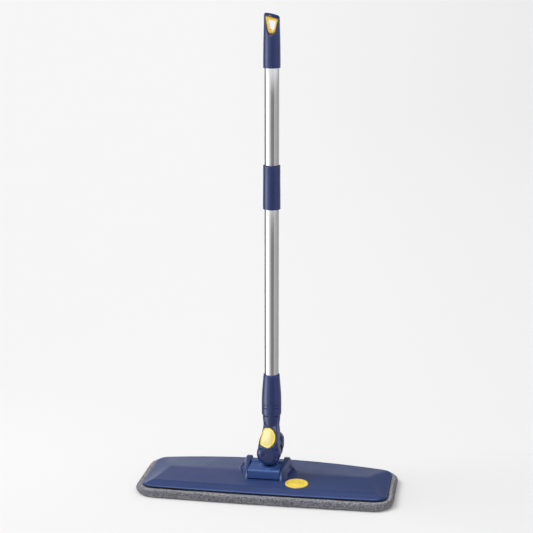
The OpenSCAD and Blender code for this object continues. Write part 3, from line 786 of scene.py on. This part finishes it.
def roof(points):
    """Height of the plate's top: a flat middle falling to the front, rear and ends."""
    x, y = points[:, 0], points[:, 1]
    bow = 1 - (x / HALF_LENGTH) ** 2
    front_edge = FRONT_Y - FRONT_BOW * bow
    rear_edge = REAR_Y + REAR_BOW * bow
    rear_start = 4.0
    back = np.clip((y - rear_start) / (rear_edge - rear_start), -2, 2)
    front_slope = 13.3 + (y - front_edge) * 0.74
    # the rear slope takes no part near the front
    rear_slope = np.where(y > -30, PLATE_Z - 7.3 * back, 60)
    # the ridges of the end faces run a little inwards towards the rear
    ridge_x = 175.0 - (np.clip(y, -62, 62) + 60) * 0.235
    end_slope = PLATE_Z + (ridge_x - np.abs(x)) * 7.4 / (HALF_LENGTH - ridge_x)
    z = smooth_min(PLATE_Z, front_slope, width=1.6)
    z = smooth_min(z, rear_slope, width=0.7)
    return smooth_min(z, end_slope, width=1.2)


def plate():
    count = 900
    edge = outline(grow=0, shift=0, corner=PLATE_CORNER, count=count)
    rings = [level(shrink(edge, 0.02), CEILING_Z)]
    rings += [level(inset(edge, amount), z) for amount, z in PLATE_UNDERSIDE]
    rim_start = len(rings)
    rings.append(level(inset(edge, 0.0), RIM_Z))
    for a in np.linspace(0, math.pi / 2, 7)[1:]:
        loop = inset(edge, RIM_RADIUS * (1 - math.cos(a)))
        top = roof(loop)
        low = np.maximum(top - RIM_RADIUS, RIM_Z)
        rings.append(level(loop, low + (top - low) * math.sin(a)))
    rim_end = len(rings)
    insets = [*np.arange(1.5, 16, 0.55), *np.arange(16, 34, 0.8)]
    loops = [inset(edge, amount) for amount in insets]
    last = 1 - insets[-1] / np.linalg.norm(edge - core_line(edge), axis=1)
    for f in np.linspace(0, 1, 46)[1:]:
        loops.append(shrink(edge, (last * (1 - f) + 0.004 * f)[:, None]))
    rings += [level(loop, roof(loop)) for loop in loops]
    ob = ring_mesh("plate_v", rings)
    # painted highlight: the rim rings, and the next ring at 0.3, are mixed towards the brighter
    # edge colour
    rim = np.zeros(len(ob.data.vertices))
    rim[rim_start * count:rim_end * count] = 1.0
    rim[rim_end * count:(rim_end + 1) * count] = 0.3
    point_attribute(ob, "rim", rim)
    return ob


# ears either side of the joint; stations run from front to rear as (y, value)
EAR_FRONT, EAR_REAR = -33.4, 31.6
EAR_TOP = [
    (EAR_FRONT, 18.4), (-33.2, 21.2), (-32.8, 24.4), (-32.2, 26.8), (-31.2, 29.2), (-29, 32.6),
    (-26.5, 35.0), (-24, 36.3), (-20, 37.4), (-8, 39.2), (2, 40.7), (9, 41.7), (14, 42.0),
    (17, 41.7), (20, 40.2), (22.5, 37.4), (25, 33.0), (27.5, 27.6), (29.5, 22.6),
    (EAR_REAR, 17.8)]
EAR_TOP_WIDTH = [(EAR_FRONT, 2.6), (-28, 3.2), (-20, 4.6), (-10, 6.2), (0, 7.6), (12, 8.7),
                 (22, 8.7), (EAR_REAR, 6.5)]
EAR_OUTER_EDGE = [(EAR_FRONT, 1.5), (-24, 2.0), (0, 1.8), (12, 1.4)]
EAR_FOOT_X = [(EAR_FRONT, 27.6), (-31, 28.8), (-28, 30.4), (-14, 36.4), (0, 42.8), (9, 46.2),
              (18, 46.2), (25, 43.0), (EAR_REAR, 36.0)]
EAR_INNER_X = 24.2
EAR_BOTTOM, EAR_FLANK_BOTTOM = 16.5, 20.2
EAR_OFFSET = 1.5         # each ear moved out from its drawn place
AXLE_Y, AXLE_Z = 4.0, 30.0


def ear_section(y, top):
    """(x, z) section of the right ear."""
    height = max(top - 17.5, 0.3)
    outer_x = EAR_INNER_X + station(EAR_TOP_WIDTH, y)
    foot_x = station(EAR_FOOT_X, y)
    inner_edge = 1.0 * min(1, height / 4)
    outer_edge = station(EAR_OUTER_EDGE, y) * min(1, height / 8)
    section = [(EAR_INNER_X, EAR_BOTTOM), (EAR_INNER_X, top - inner_edge)]
    for a in np.linspace(0, math.pi / 2, 6)[1:]:
        section.append((EAR_INNER_X + inner_edge - inner_edge * math.cos(a),
                        top - inner_edge + inner_edge * math.sin(a)))
    for a in np.linspace(0, math.pi / 2, 7):
        section.append((outer_x - outer_edge + outer_edge * math.sin(a),
                        top - outer_edge + outer_edge * math.cos(a)))
    # flank with a concave sweep into the plate, or a plain slope where the ear is low
    flank_top = top - outer_edge
    for q in np.linspace(0, 1, 18)[1:]:
        if flank_top > EAR_FLANK_BOTTOM:
            sweep, bottom = 0.72 * q ** 0.8 + 0.28 * q ** 4.0, EAR_FLANK_BOTTOM
        else:
            sweep, bottom = q, flank_top - 0.8
        section.append((outer_x + (foot_x - outer_x) * sweep,
                        flank_top * (1 - q) + bottom * q))
    section.append((foot_x + 0.6, EAR_BOTTOM))
    return np.array(section)


def ear_blank(side):
    """One ear as a loft along Y; side is 1 for +X and -1 for -X."""
    fine_y = np.linspace(EAR_FRONT, EAR_REAR, 520)
    tops = station(EAR_TOP, fine_y)
    tops = np.r_[np.full(7, tops[0]), tops, np.full(7, tops[-1])]
    tops = np.convolve(tops, np.ones(15) / 15, "valid")
    rings = []
    for y in np.r_[np.linspace(EAR_FRONT, -31.6, 7), np.linspace(-31, 26, 90),
                   np.linspace(26.6, EAR_REAR, 12)]:
        section = ear_section(y, np.interp(y, fine_y, tops))
        rings.append(upright(section * (side, 1), y))
    ob = ring_mesh("ear", rings)
    # painted highlight along the thin front rim
    x, y, z = (vertex_points(ob) * 1000).T
    painted_highlight = (np.clip((-30.6 - y) / 0.9, 0, 1) * np.clip((z - 20.5) / 1.0, 0, 1)
            * np.clip((27.6 - np.abs(x)) / 0.8, 0, 1))
    point_attribute(ob, "painted_highlight", painted_highlight * 0.85)
    return ob


def pocket_cutter(side):
    """Long round-ended recess at the foot of the flank, turned in plan to follow it."""
    radius, half_pitch = 2.6, 10.2
    middle_y, middle_z, rise = 9.85, 24.4, 0.137
    turn = math.radians(-20.6)
    slot = np.array([(sign * half_pitch + radius * math.cos(a), radius * math.sin(a))
                     for sign, start in ((1, -math.pi / 2), (-1, math.pi / 2))
                     for a in np.linspace(start, start + math.pi, 16)])
    c, s = math.cos(turn), math.sin(turn)
    y = slot[:, 0] + middle_y
    z = slot[:, 1] + middle_z + rise * slot[:, 0]
    return ring_mesh("cap", [np.c_[side * (x * c - y * s), x * s + y * c, z]
                             for x in (34.3, 56.0)])


def cap_hole_cutter(side):
    radius = 4.2
    a = np.linspace(0, 2 * math.pi, 48, endpoint=False)
    return ring_mesh("cap", [np.c_[np.full(48, side * x), AXLE_Y + radius * np.cos(a),
                                   AXLE_Z + radius * np.sin(a)] for x in (35.4, 54.0)])


def ear(side):
    ob = ear_blank(side)
    subtract(ob, pocket_cutter(side))
    subtract(ob, cap_hole_cutter(side))
    ob.data.transform(Matrix.Translation(((SADDLE_X + EAR_OFFSET * side) * MM, 0, 0)))
    return ob


BADGE_CENTRE = (50.6, -40.5, 0)


def bezel():
    """Low ring round the yellow disc."""
    profile = [(18.25, PLATE_Z - 1.0, 0), (18.3, PLATE_Z + 0.42), (19.3, PLATE_Z + 0.42, 1.2),
               (19.9, PLATE_Z - 0.6, 0)]
    return lathe("bezel", profile, sides=120, rounding=0.3, steps=4, centre=BADGE_CENTRE)


def top_plate():
    ob = join([plate(), ear(1), ear(-1), bezel()], "plate_v")
    crease(ob, 42)
    return ob


def badge():
    """Yellow disc: rounded rim, dished face with a low domed middle."""
    # (radius, height above the plate, rounding factor)
    section = [(0, -1.1, 0), (17.9, -1.1, 0.5), (17.95, 1.2, 3), (16.7, 2.1, 3),
               (15.4, 1.8, 1.5), (14.2, 0.75, 2), (12.0, 0.5, 4), (8.0, 1.05, 6),
               (4.0, 1.6, 6), (0, 1.75, 0)]
    profile = [(radius, PLATE_Z + z, factor) for radius, z, factor in section]
    return lathe("badge_v", profile, steps=6, centre=BADGE_CENTRE, crease_angle=60)


def axle_caps():
    """Domed caps set in the outer flanks of the ears."""
    caps = []
    for side in (1, -1):
        cap = lathe("cap", [(0, 35.45, 0), (4.1, 35.45), (4.1, 37.6, 1.5), (2.2, 38.7, 4),
                            (0, 38.7, 0)], sides=64)
        seat = Matrix.Translation(((SADDLE_X + EAR_OFFSET * side) * MM,
                                   AXLE_Y * MM, AXLE_Z * MM))
        cap.data.transform(seat @ Matrix.Rotation(side * math.pi / 2, 4, "Y"))
        caps.append(cap)
    ob = join(caps, "axle_caps_v")
    crease(ob, 50)
    return ob


# ------------------------------------------------------------------ pad
COARSE_COUNT = 260                      # points round the simulated pad
FINE_COUNT = 1500     # points round the shown pad
LAST_FRAME = 20
LARGEST_SWELL = 1.9 * MM
# highest top surface by signed distance outside the plate edge: low under it, swelling beyond
PAD_TOP_LIMIT = [(-60, 9.2), (-9, 9.2), (-2.0, 9.1), (0.0, 9.1), (1.6, 9.6), (4.0, 10.8),
                 (8.0, 11.3)]
# part of the pad that the plate holds down
HELD_OUTLINE = outline(grow=-1.0, shift=0, corner=18.0, count=720)


def pad_rings(count, fine):
    """Loops from the middle of the underside round the edge to the middle of the top."""
    edge = outline(PAD_GROW, PAD_SHIFT, PAD_CORNER, count)
    fractions = (0.02, 0.2, 0.36)
    insets = np.arange(44, 6, -1.0) if fine else [44, 36, 30, 25, 21, 17, 13.5, 10.5, 8.0, 6.0]
    steps = 20 if fine else 7
    lower, upper = 2.8, 4.6     # edge roundings
    inner = [shrink(edge, f) for f in fractions] + [inset(edge, amount) for amount in insets]
    rings = [level(loop, PAD_BOTTOM) for loop in inner]
    for a in np.linspace(-math.pi / 2, 0, steps):
        rings.append(level(inset(edge, lower - lower * math.cos(a)),
                           PAD_BOTTOM + lower + lower * math.sin(a)))
    for a in np.linspace(0, math.pi / 2, steps):
        rings.append(level(inset(edge, upper - upper * math.cos(a)),
                           PAD_TOP - upper + upper * math.sin(a)))
    # the way back in lists insets from deep to shallow reversed
    return rings + [level(loop, PAD_TOP) for loop in inner[::-1]]


def pad_swell(rings):
    """Movement of each point, in metres, when the pad is puffed up as cloth under pressure."""
    shape = (len(rings), COARSE_COUNT, 3)
    ob = ring_mesh("pad_sim", rings)
    rest = vertex_points(ob)
    # held where the plate presses on it, and less firmly where it lies on the floor
    held = inside(rest[:, :2] / MM, HELD_OUTLINE)
    low = rest[:, 2] < 0.6 * MM
    group = ob.vertex_groups.new(name="pin")
    group.add([int(i) for i in np.where(held)[0]], 1.0, "REPLACE")
    group.add([int(i) for i in np.where(~held & low)[0]], 0.75, "REPLACE")
    cloth = ob.modifiers.new("cloth", "CLOTH")
    settings = cloth.settings
    settings.quality = 6
    settings.mass = 0.25
    settings.tension_stiffness = 18
    settings.compression_stiffness = 18
    settings.shear_stiffness = 6
    settings.bending_stiffness = 0.6
    settings.use_pressure = True
    settings.uniform_pressure_force = 4.0
    settings.vertex_group_mass = "pin"
    settings.pin_stiffness = 1.0
    settings.effector_weights.gravity = 0.0
    cloth.collision_settings.use_collision = False
    cloth.collision_settings.use_self_collision = False
    cloth.point_cache.frame_start = 1
    cloth.point_cache.frame_end = LAST_FRAME
    for number in range(1, LAST_FRAME + 1):
        scene.frame_set(number)
    swell = vertex_points(ob.evaluated_get(bpy.context.evaluated_depsgraph_get())) - rest
    scene.frame_set(1)
    bpy.data.objects.remove(ob)
    length = np.linalg.norm(swell, axis=1)
    swell *= (np.minimum(length, LARGEST_SWELL) / np.maximum(length, 1e-9))[:, None]
    return swell[:len(rings) * COARSE_COUNT].reshape(shape)


def section_run(rings):
    """Running length along one section of the pad, as a share of the whole."""
    column = 30 * len(rings[0]) // COARSE_COUNT
    run = running_length(np.array([loop[column] for loop in rings]))
    return run / run[-1]


def spread(swell, coarse, fine):
    """Coarse movement read at the points of the fine pad."""
    coarse_run, fine_run = section_run(coarse), section_run(fine)
    coarse_around = np.r_[np.linspace(0, 1, COARSE_COUNT, endpoint=False), 1.0]
    fine_around = np.linspace(0, 1, FINE_COUNT, endpoint=False)
    result = np.zeros((len(fine), FINE_COUNT, 3))
    for axis in range(3):
        rows = np.zeros((len(fine), COARSE_COUNT))
        for i in range(COARSE_COUNT):
            rows[:, i] = np.interp(fine_run, coarse_run, swell[:, i, axis])
        for k, row in enumerate(rows):
            result[k, :, axis] = np.interp(fine_around, coarse_around, np.r_[row, row[0]])
    return result


def value_noise(points, scale, seed):
    """Smooth noise from a random lattice."""
    lattice = np.random.default_rng(seed).random((64, 64, 64)) * 2 - 1
    scaled = points * scale
    cell = np.floor(scaled).astype(int)
    f = scaled - cell
    f = f * f * (3 - 2 * f)
    result = 0
    for dx in (0, 1):
        for dy in (0, 1):
            for dz in (0, 1):
                weight = ((f[:, 0] if dx else 1 - f[:, 0]) * (f[:, 1] if dy else 1 - f[:, 1])
                          * (f[:, 2] if dz else 1 - f[:, 2]))
                x, y, z = ((cell + (dx, dy, dz)) % 64).T
                result = result + weight * lattice[x, y, z]
    return result


def distance_outside_plate(points, chosen):
    """Signed distance in mm beyond the plate edge; -50 for points not chosen."""
    edge = outline(grow=0, shift=0, corner=PLATE_CORNER, count=1400)
    tree = KDTree(len(edge))
    for i, (x, y) in enumerate(edge):
        tree.insert((x, y, 0.0), i)
    tree.balance()
    result = np.full(len(points), -50.0)
    indices = np.where(chosen)[0]
    for i, under in zip(indices, inside(points[indices, :2] * 1000, edge)):
        distance = tree.find((points[i, 0] * 1000, points[i, 1] * 1000, 0.0))[2]
        result[i] = -distance if under else distance
    return result


def pad():
    """Felt pad: the fine shape takes the simulated swelling, then fibre relief."""
    coarse, fine = pad_rings(COARSE_COUNT, False), pad_rings(FINE_COUNT, True)
    swollen = np.array(fine) * MM + spread(pad_swell(coarse), coarse, fine)
    ob = ring_mesh("pad_felt", list(swollen / MM))
    mesh = ob.data
    points = vertex_points(ob)

    # soft limit on the height of the top
    top = points[:, 2] > 5.2 * MM
    outside = distance_outside_plate(points, top)
    limit = station(PAD_TOP_LIMIT, outside)
    z = points[:, 2] * 1000
    over = np.where(top, z - limit, -1.0)
    points[:, 2] = np.where(over > 0, limit + 0.12 * over, z) * MM
    mesh.vertices.foreach_set("co", points.ravel())
    mesh.update()
    normals = np.zeros(points.size)
    mesh.vertices.foreach_get("normal", normals)
    normals = normals.reshape(-1, 3)

    # tufts of three sizes and broad lumps; nearly flat where held
    relief = (0.55 * value_noise(points, scale=260, seed=1)
              + 0.4 * value_noise(points, scale=560, seed=2)
              + 0.25 * value_noise(points, scale=1100, seed=3))
    lumps = value_noise(points, scale=38, seed=4)
    held = inside(points[:, :2] * 1000, HELD_OUTLINE) & (points[:, 2] > 5 * MM)
    height = relief * np.where(held, 0.05, 0.5) + lumps * np.where(held, 0.0, 0.35)
    points = points + normals * (height * MM)[:, None]
    points[:, 2] = np.maximum(points[:, 2], 0.04 * MM)
    points[:, 2] = np.where(held, np.minimum(points[:, 2], 10.7 * MM), points[:, 2])
    mesh.vertices.foreach_set("co", points.ravel())
    mesh.update()

    # painted shade: darker in the crease under the plate and along the foot
    crease_shade = station([(-3.0, 1.0), (0.0, 0.95), (0.9, 0.75), (2.2, 0.0)], outside)
    foot_shade = station([(0.3, 0.75), (1.0, 0.55), (2.0, 0.0)], points[:, 2] * 1000)
    point_attribute(ob, "shade", np.where(top, crease_shade, foot_shade))
    return ob


def fibres(count):
    """Loose fibres standing off the rounded edge of the pad, as thin three-sided arches."""
    rng = np.random.default_rng(7)
    edge_radius, edge_z = 5.0, 5.7
    edge = outline(grow=10.3, shift=PAD_SHIFT, corner=33.0, count=4000)
    along_edge = np.roll(edge, -1, 0) - np.roll(edge, 1, 0)
    along_edge /= np.linalg.norm(along_edge, axis=1)[:, None]
    outward = np.c_[along_edge[:, 1], -along_edge[:, 0]]
    points, faces = [], []
    for _ in range(count):
        k = rng.integers(0, len(edge))
        lift = rng.uniform(-0.35, 1.25)
        c, s = math.cos(lift), math.sin(lift)
        root = np.array([*(edge[k] - outward[k] * (edge_radius * (1 - c)) + outward[k] * 0.2),
                         edge_z + edge_radius * s])
        normal = np.array([*(outward[k] * c), s])
        tangent = np.array([*along_edge[k], 0.0])
        turn = rng.uniform(0, 2 * math.pi)
        along = tangent * math.cos(turn) + np.cross(normal, tangent) * math.sin(turn)
        length = rng.uniform(0.9, 2.6)
        height = rng.uniform(0.3, 0.75)
        width = rng.uniform(0.06, 0.11)
        side = np.cross(along, normal)
        base = len(points)
        for t in (0, 0.3, 0.65, 1.0):
            arch = height * math.sin(math.pi * min(1, t * 1.05)) * 1.4
            p = root - normal * 0.5 + along * length * t + normal * arch
            points += [p + side * width, p - side * width, p + normal * width * 1.5]
        for start in range(base, base + 9, 3):
            for i, j in ((0, 1), (1, 2), (2, 0)):
                faces.append((start + i, start + j, start + 3 + j, start + 3 + i))
        faces.append((base, base + 2, base + 1))
        faces.append((base + 9, base + 10, base + 11))
    points = np.array(points)
    points[:, 2] = np.maximum(points[:, 2], 0.15)
    return mesh_object("pad_fibres", points * MM, faces)


def add_stitch(points, faces, start, end):
    """Six-sided thread segment from start to end, thin at its ends."""
    radius, z = 0.28, 0.3
    along = (end - start) / (np.linalg.norm(end - start) + 1e-9)
    side = np.array([-along[1], along[0]])
    base = len(points)
    for share, thickness in ((0, 0.4), (0.2, 1), (0.8, 1), (1, 0.4)):
        centre = start + (end - start) * share
        for i in range(6):
            a = i * math.pi / 3
            x, y = centre + side * radius * thickness * math.cos(a)
            points.append((x, y, z + radius * 0.9 * thickness * math.sin(a)))
    for row in range(base, base + 18, 6):
        for i in range(6):
            j = (i + 1) % 6
            faces.append((row + i, row + j, row + 6 + j, row + 6 + i))
    faces.append(tuple(base + i for i in range(5, -1, -1)))
    faces.append(tuple(base + 18 + i for i in range(6)))


def stitches():
    """Stitching on the underside: one line round the edge and five rows along X."""
    margin = 10.0
    points, faces = [], []
    line = outline(PAD_GROW - margin, PAD_SHIFT, PAD_CORNER - margin, 520)
    following = np.roll(line, -1, 0)
    for k in range(0, len(line), 2):
        end = line[k] + (following[k] - line[k]) * 1.35
        add_stitch(points, faces, line[k], end)
    for y in range(-52, 37, 22):
        for x in np.arange(-176, 174, 4.2):
            add_stitch(points, faces, np.array([x, y]), np.array([x + 2.9, y]))
    return mesh_object("pad_stitches", np.array(points) * MM, faces)


# ------------------------------------------------------------------ all pieces, in order
place(tube("upper_tube_v", TUBE_JOINT + TUBE_GAP, GRIP_BOTTOM + 40),
      "pole", "steel", "upper_tube")
place(collar(), "pole", "navy", "joint_collar")
place(sleeve(), "pole", "navy", "socket_sleeve")
place(ring(), "pole", "navy", "lock_ring")
place(grip(), "pole", "navy", "grip_body")
place(liner(), "pole", "liner", "hang_liner")
place(tube("lower_tube_v", 113, TUBE_JOINT - TUBE_GAP), "pole", "steel", "lower_tube")
place(soften("neck_body", "neck_v", iterations=22), "pole", "navy", "neck_body")
place(soften("knuckle", "knuckle_v", iterations=12), "knuckle", "blue", "knuckle")
place(button(), "button", "button", "lock_button")
place(top_plate(), "head", "plate", "top_plate")
place(badge(), "head", "yellow", "badge_disc")
place(axle_caps(), "head", "plate", "axle_caps")
place(pad(), "head", "felt", "pad_cover", "pad_core", "pad_binding", "pad_backing")
place(fibres(9000), "head", "felt")
place(stitches(), "head", "thread")

# ------------------------------------------------------------------ stage
VIEW_YAW = math.radians(9.4)
VIEW_RIGHT = (math.cos(VIEW_YAW), math.sin(VIEW_YAW), 0)
VIEW_AWAY = (-math.sin(VIEW_YAW), math.cos(VIEW_YAW), 0)
VIEW_NEAR = (math.sin(VIEW_YAW), -math.cos(VIEW_YAW), 0)


def direction(azimuth, elevation):
    """Unit vector; azimuth in degrees from the camera side, positive to the right."""
    a, e = math.radians(azimuth), math.radians(elevation)
    x, y = (near * math.cos(a) + right * math.sin(a)
            for near, right in zip(VIEW_NEAR[:2], VIEW_RIGHT[:2]))
    return (x * math.cos(e), y * math.cos(e), math.sin(e))


def floor():
    """Pale paper, with painted shade making it a little darker to the far right."""
    half = 70    # metres
    ob = mesh_object("floor", [(-half, -half, 0), (half, -half, 0), (half, half, 0),
                               (-half, half, 0)], [(0, 1, 2, 3)])
    material, tree, shader, coords = new_material("floor")
    # depth from near the camera, and the sideways slant seen from there
    depth = calc(tree, "MAXIMUM", calc(tree, "ADD", dot(tree, coords, VIEW_AWAY), 2.1), 0.5)
    slant = calc(tree, "DIVIDE", dot(tree, coords, VIEW_RIGHT), depth)
    far = remap(tree, depth, low=0.35, high=1.0, start=1.9, end=7.0)
    right = remap(tree, slant, low=0.0, high=1.0, start=-0.04, end=0.22)
    # painted shade: the paper darkens towards the far right, more so further away
    painted_floor_shade = calc(tree, "MULTIPLY", right, far)
    mottle = noise(tree, coords, scale=3, detail=2)
    paper = calc(tree, "MULTIPLY_ADD", mottle, 0.006, 0.872)
    value = calc(tree, "MULTIPLY_ADD", painted_floor_shade, -0.085, paper)
    color = add_node(tree, "CombineColor", {0: value, 1: calc(tree, "MULTIPLY", value, 0.996),
                                            2: calc(tree, "MULTIPLY", value, 0.993)})
    wire(tree, shader, {"Base Color": color, "Roughness": 0.95, "Specular IOR Level": 0.0})
    ob.data.materials.append(material)
    ob.visible_glossy = False
    return ob


floor()


# ------------------------------------------------------------------ lights
def add_light(name, kind, energy, aim):
    """Light turned along the aim vector, unseen in reflections."""
    light = bpy.data.lights.new(name, kind)
    light.energy = energy
    ob = bpy.data.objects.new(name, light)
    scene.collection.objects.link(ob)
    ob.rotation_euler = aim.to_track_quat("-Z", "Y").to_euler()
    ob.visible_glossy = False
    return ob


def sun(name, azimuth, elevation, strength, angle):
    ob = add_light(name, "SUN", strength, -Vector(direction(azimuth, elevation)))
    ob.data.angle = math.radians(angle)


def card(name, position, target, size, watts):
    ob = add_light(name, "AREA", watts, Vector(target) - Vector(position))
    ob.data.size = size
    ob.location = position
    ob.visible_camera = False


sun("key", azimuth=-96, elevation=47, strength=1.64, angle=34)
sun("top", azimuth=150, elevation=72, strength=0.25, angle=60)
card("left", position=(-0.62, -0.02, 0.42), target=(-0.16, 0.0, 0.0), size=0.35, watts=0.12)

# ------------------------------------------------------------------ world
# what reflections see near the horizon: (azimuth in degrees, grey or rgb)
WARM_GAP = (0.13, 0.09, 0.065)
SURROUND = [
    (-180, 0.75), (-158, 0.75), (-142, 0.35), (-133, WARM_GAP), (-117, WARM_GAP), (-107, 0.6),
    (-97, 1.2), (-82, 3.4), (-66, 3.4), (-54, 1.2), (-36, 0.95), (-20, 0.52), (-6, 0.27),
    (10, 0.28), (27, (0.20, 0.16, 0.13)), (35, 0.4), (44, 0.58), (61, 0.5), (81, 0.5),
    (104, 0.38), (120, 0.45), (137, 0.60), (150, 0.26), (168, 0.26), (180, 0.75)]
# higher up, by the height of the direction: (z, grey)
OVERHEAD = [(0.0, 1.15), (0.10, 1.0), (0.19, 0.22), (0.28, 0.14), (0.5, 0.14), (0.75, 0.24),
            (1.0, 0.14)]
# band above the horizon, brighter behind left than behind right: (share of the turn, grey)
BAND = [(0.0, 0.40), (0.17, 0.38), (0.25, 0.16), (0.75, 0.14), (0.83, 0.04), (1.0, 0.04)]
BAND_MASK = [(0.10, 0.0), (0.18, 1.0), (0.42, 1.0), (0.6, 0.0)]
# soft boxes in front, left of the middle:
# (azimuth, elevation, cosine where it starts, cosine where it is full, brightness)
SOFT_BOXES = [(-30, 36, 0.93, 0.97, 3.0), (-16, 58, 0.955, 0.985, 4.5)]
DIFFUSE_COLOR = (0.60, 0.60, 0.61)
BACKDROP_COLOR = (0.922, 0.922, 0.922)


def world_ramp(tree, source, stops):
    """Ramp whose stops are rgb colours or greys, the greys a touch blue."""
    return ramp(tree, source, [(position, v if isinstance(v, tuple) else (v, v, v * 1.01))
                               for position, v in stops])


def world():
    """Studio: pale to the eye and for diffuse light, cards and gaps for reflections."""
    studio = bpy.data.worlds.new("w")
    scene.world = studio
    studio.use_nodes = True
    tree = studio.node_tree
    tree.nodes.clear()
    output = tree.nodes.new("ShaderNodeOutputWorld")
    background = tree.nodes.new("ShaderNodeBackground")
    tree.links.new(background.outputs[0], output.inputs[0])
    coords = add_node(tree, "TexCoord", {}, "Generated")

    azimuth = calc(tree, "ARCTAN2", dot(tree, coords, VIEW_RIGHT), dot(tree, coords, VIEW_NEAR))
    turn = calc(tree, "MULTIPLY_ADD", azimuth, 1 / (2 * math.pi), 0.5)
    low = world_ramp(tree, turn, [((angle + 180) / 360, v) for angle, v in SURROUND])
    z = dot(tree, coords, (0, 0, 1))
    above = mix_color(tree, world_ramp(tree, z, BAND_MASK), world_ramp(tree, z, OVERHEAD),
                      world_ramp(tree, turn, BAND))
    for box_azimuth, elevation, start, full, brightness in SOFT_BOXES:
        nearness = dot(tree, coords, direction(box_azimuth, elevation))
        mask = remap(tree, nearness, low=0.0, high=1.0, start=start, end=full)
        above = mix_color(tree, mask, above, (brightness,) * 3)
    up = remap(tree, z, low=0.0, high=1.0, start=-0.02, end=0.08)
    reflected = mix_color(tree, up, low, above)

    rays = tree.nodes.new("ShaderNodeLightPath")
    unseen = mix_color(tree, rays.outputs["Is Glossy Ray"], DIFFUSE_COLOR, reflected)
    color = mix_color(tree, rays.outputs["Is Camera Ray"], unseen, BACKDROP_COLOR)
    wire(tree, background, {0: color, 1: 1.0})


world()

scene.view_settings.view_transform = "Standard"
scene.view_settings.look = "None"
scene.view_settings.exposure = 0.0

# ------------------------------------------------------------------ camera
CAMERA_PITCH = math.radians(13.0)    # looking down
CAMERA_Z = 818.9
CAMERA_LEFT = 10.3                   # shift to the left of the pole
CAMERA_Y = 15.0                      # the aim lies this far behind the pole axis
AIM_Z = 350
AIM_DEPTH = 2076.923                 # along the view axis, to the level AIM_Z
LENS = 91.181989


def camera():
    data = bpy.data.cameras.new("cam")
    data.sensor_width = 36
    data.lens = LENS
    data.clip_end = 300
    ob = bpy.data.objects.new("cam", data)
    scene.collection.objects.link(ob)
    c, s = math.cos(CAMERA_PITCH), math.sin(CAMERA_PITCH)
    distance = (AIM_DEPTH + (AIM_Z - CAMERA_Z) * s) / c
    x, y = (distance * near - CAMERA_LEFT * right
            for near, right in zip(VIEW_NEAR[:2], VIEW_RIGHT[:2]))
    ob.location = (x * MM, (y + CAMERA_Y) * MM, CAMERA_Z * MM)
    forward = Vector((VIEW_AWAY[0] * c, VIEW_AWAY[1] * c, -s))
    ob.rotation_euler = forward.to_track_quat("-Z", "Y").to_euler()
    scene.camera = ob


camera()
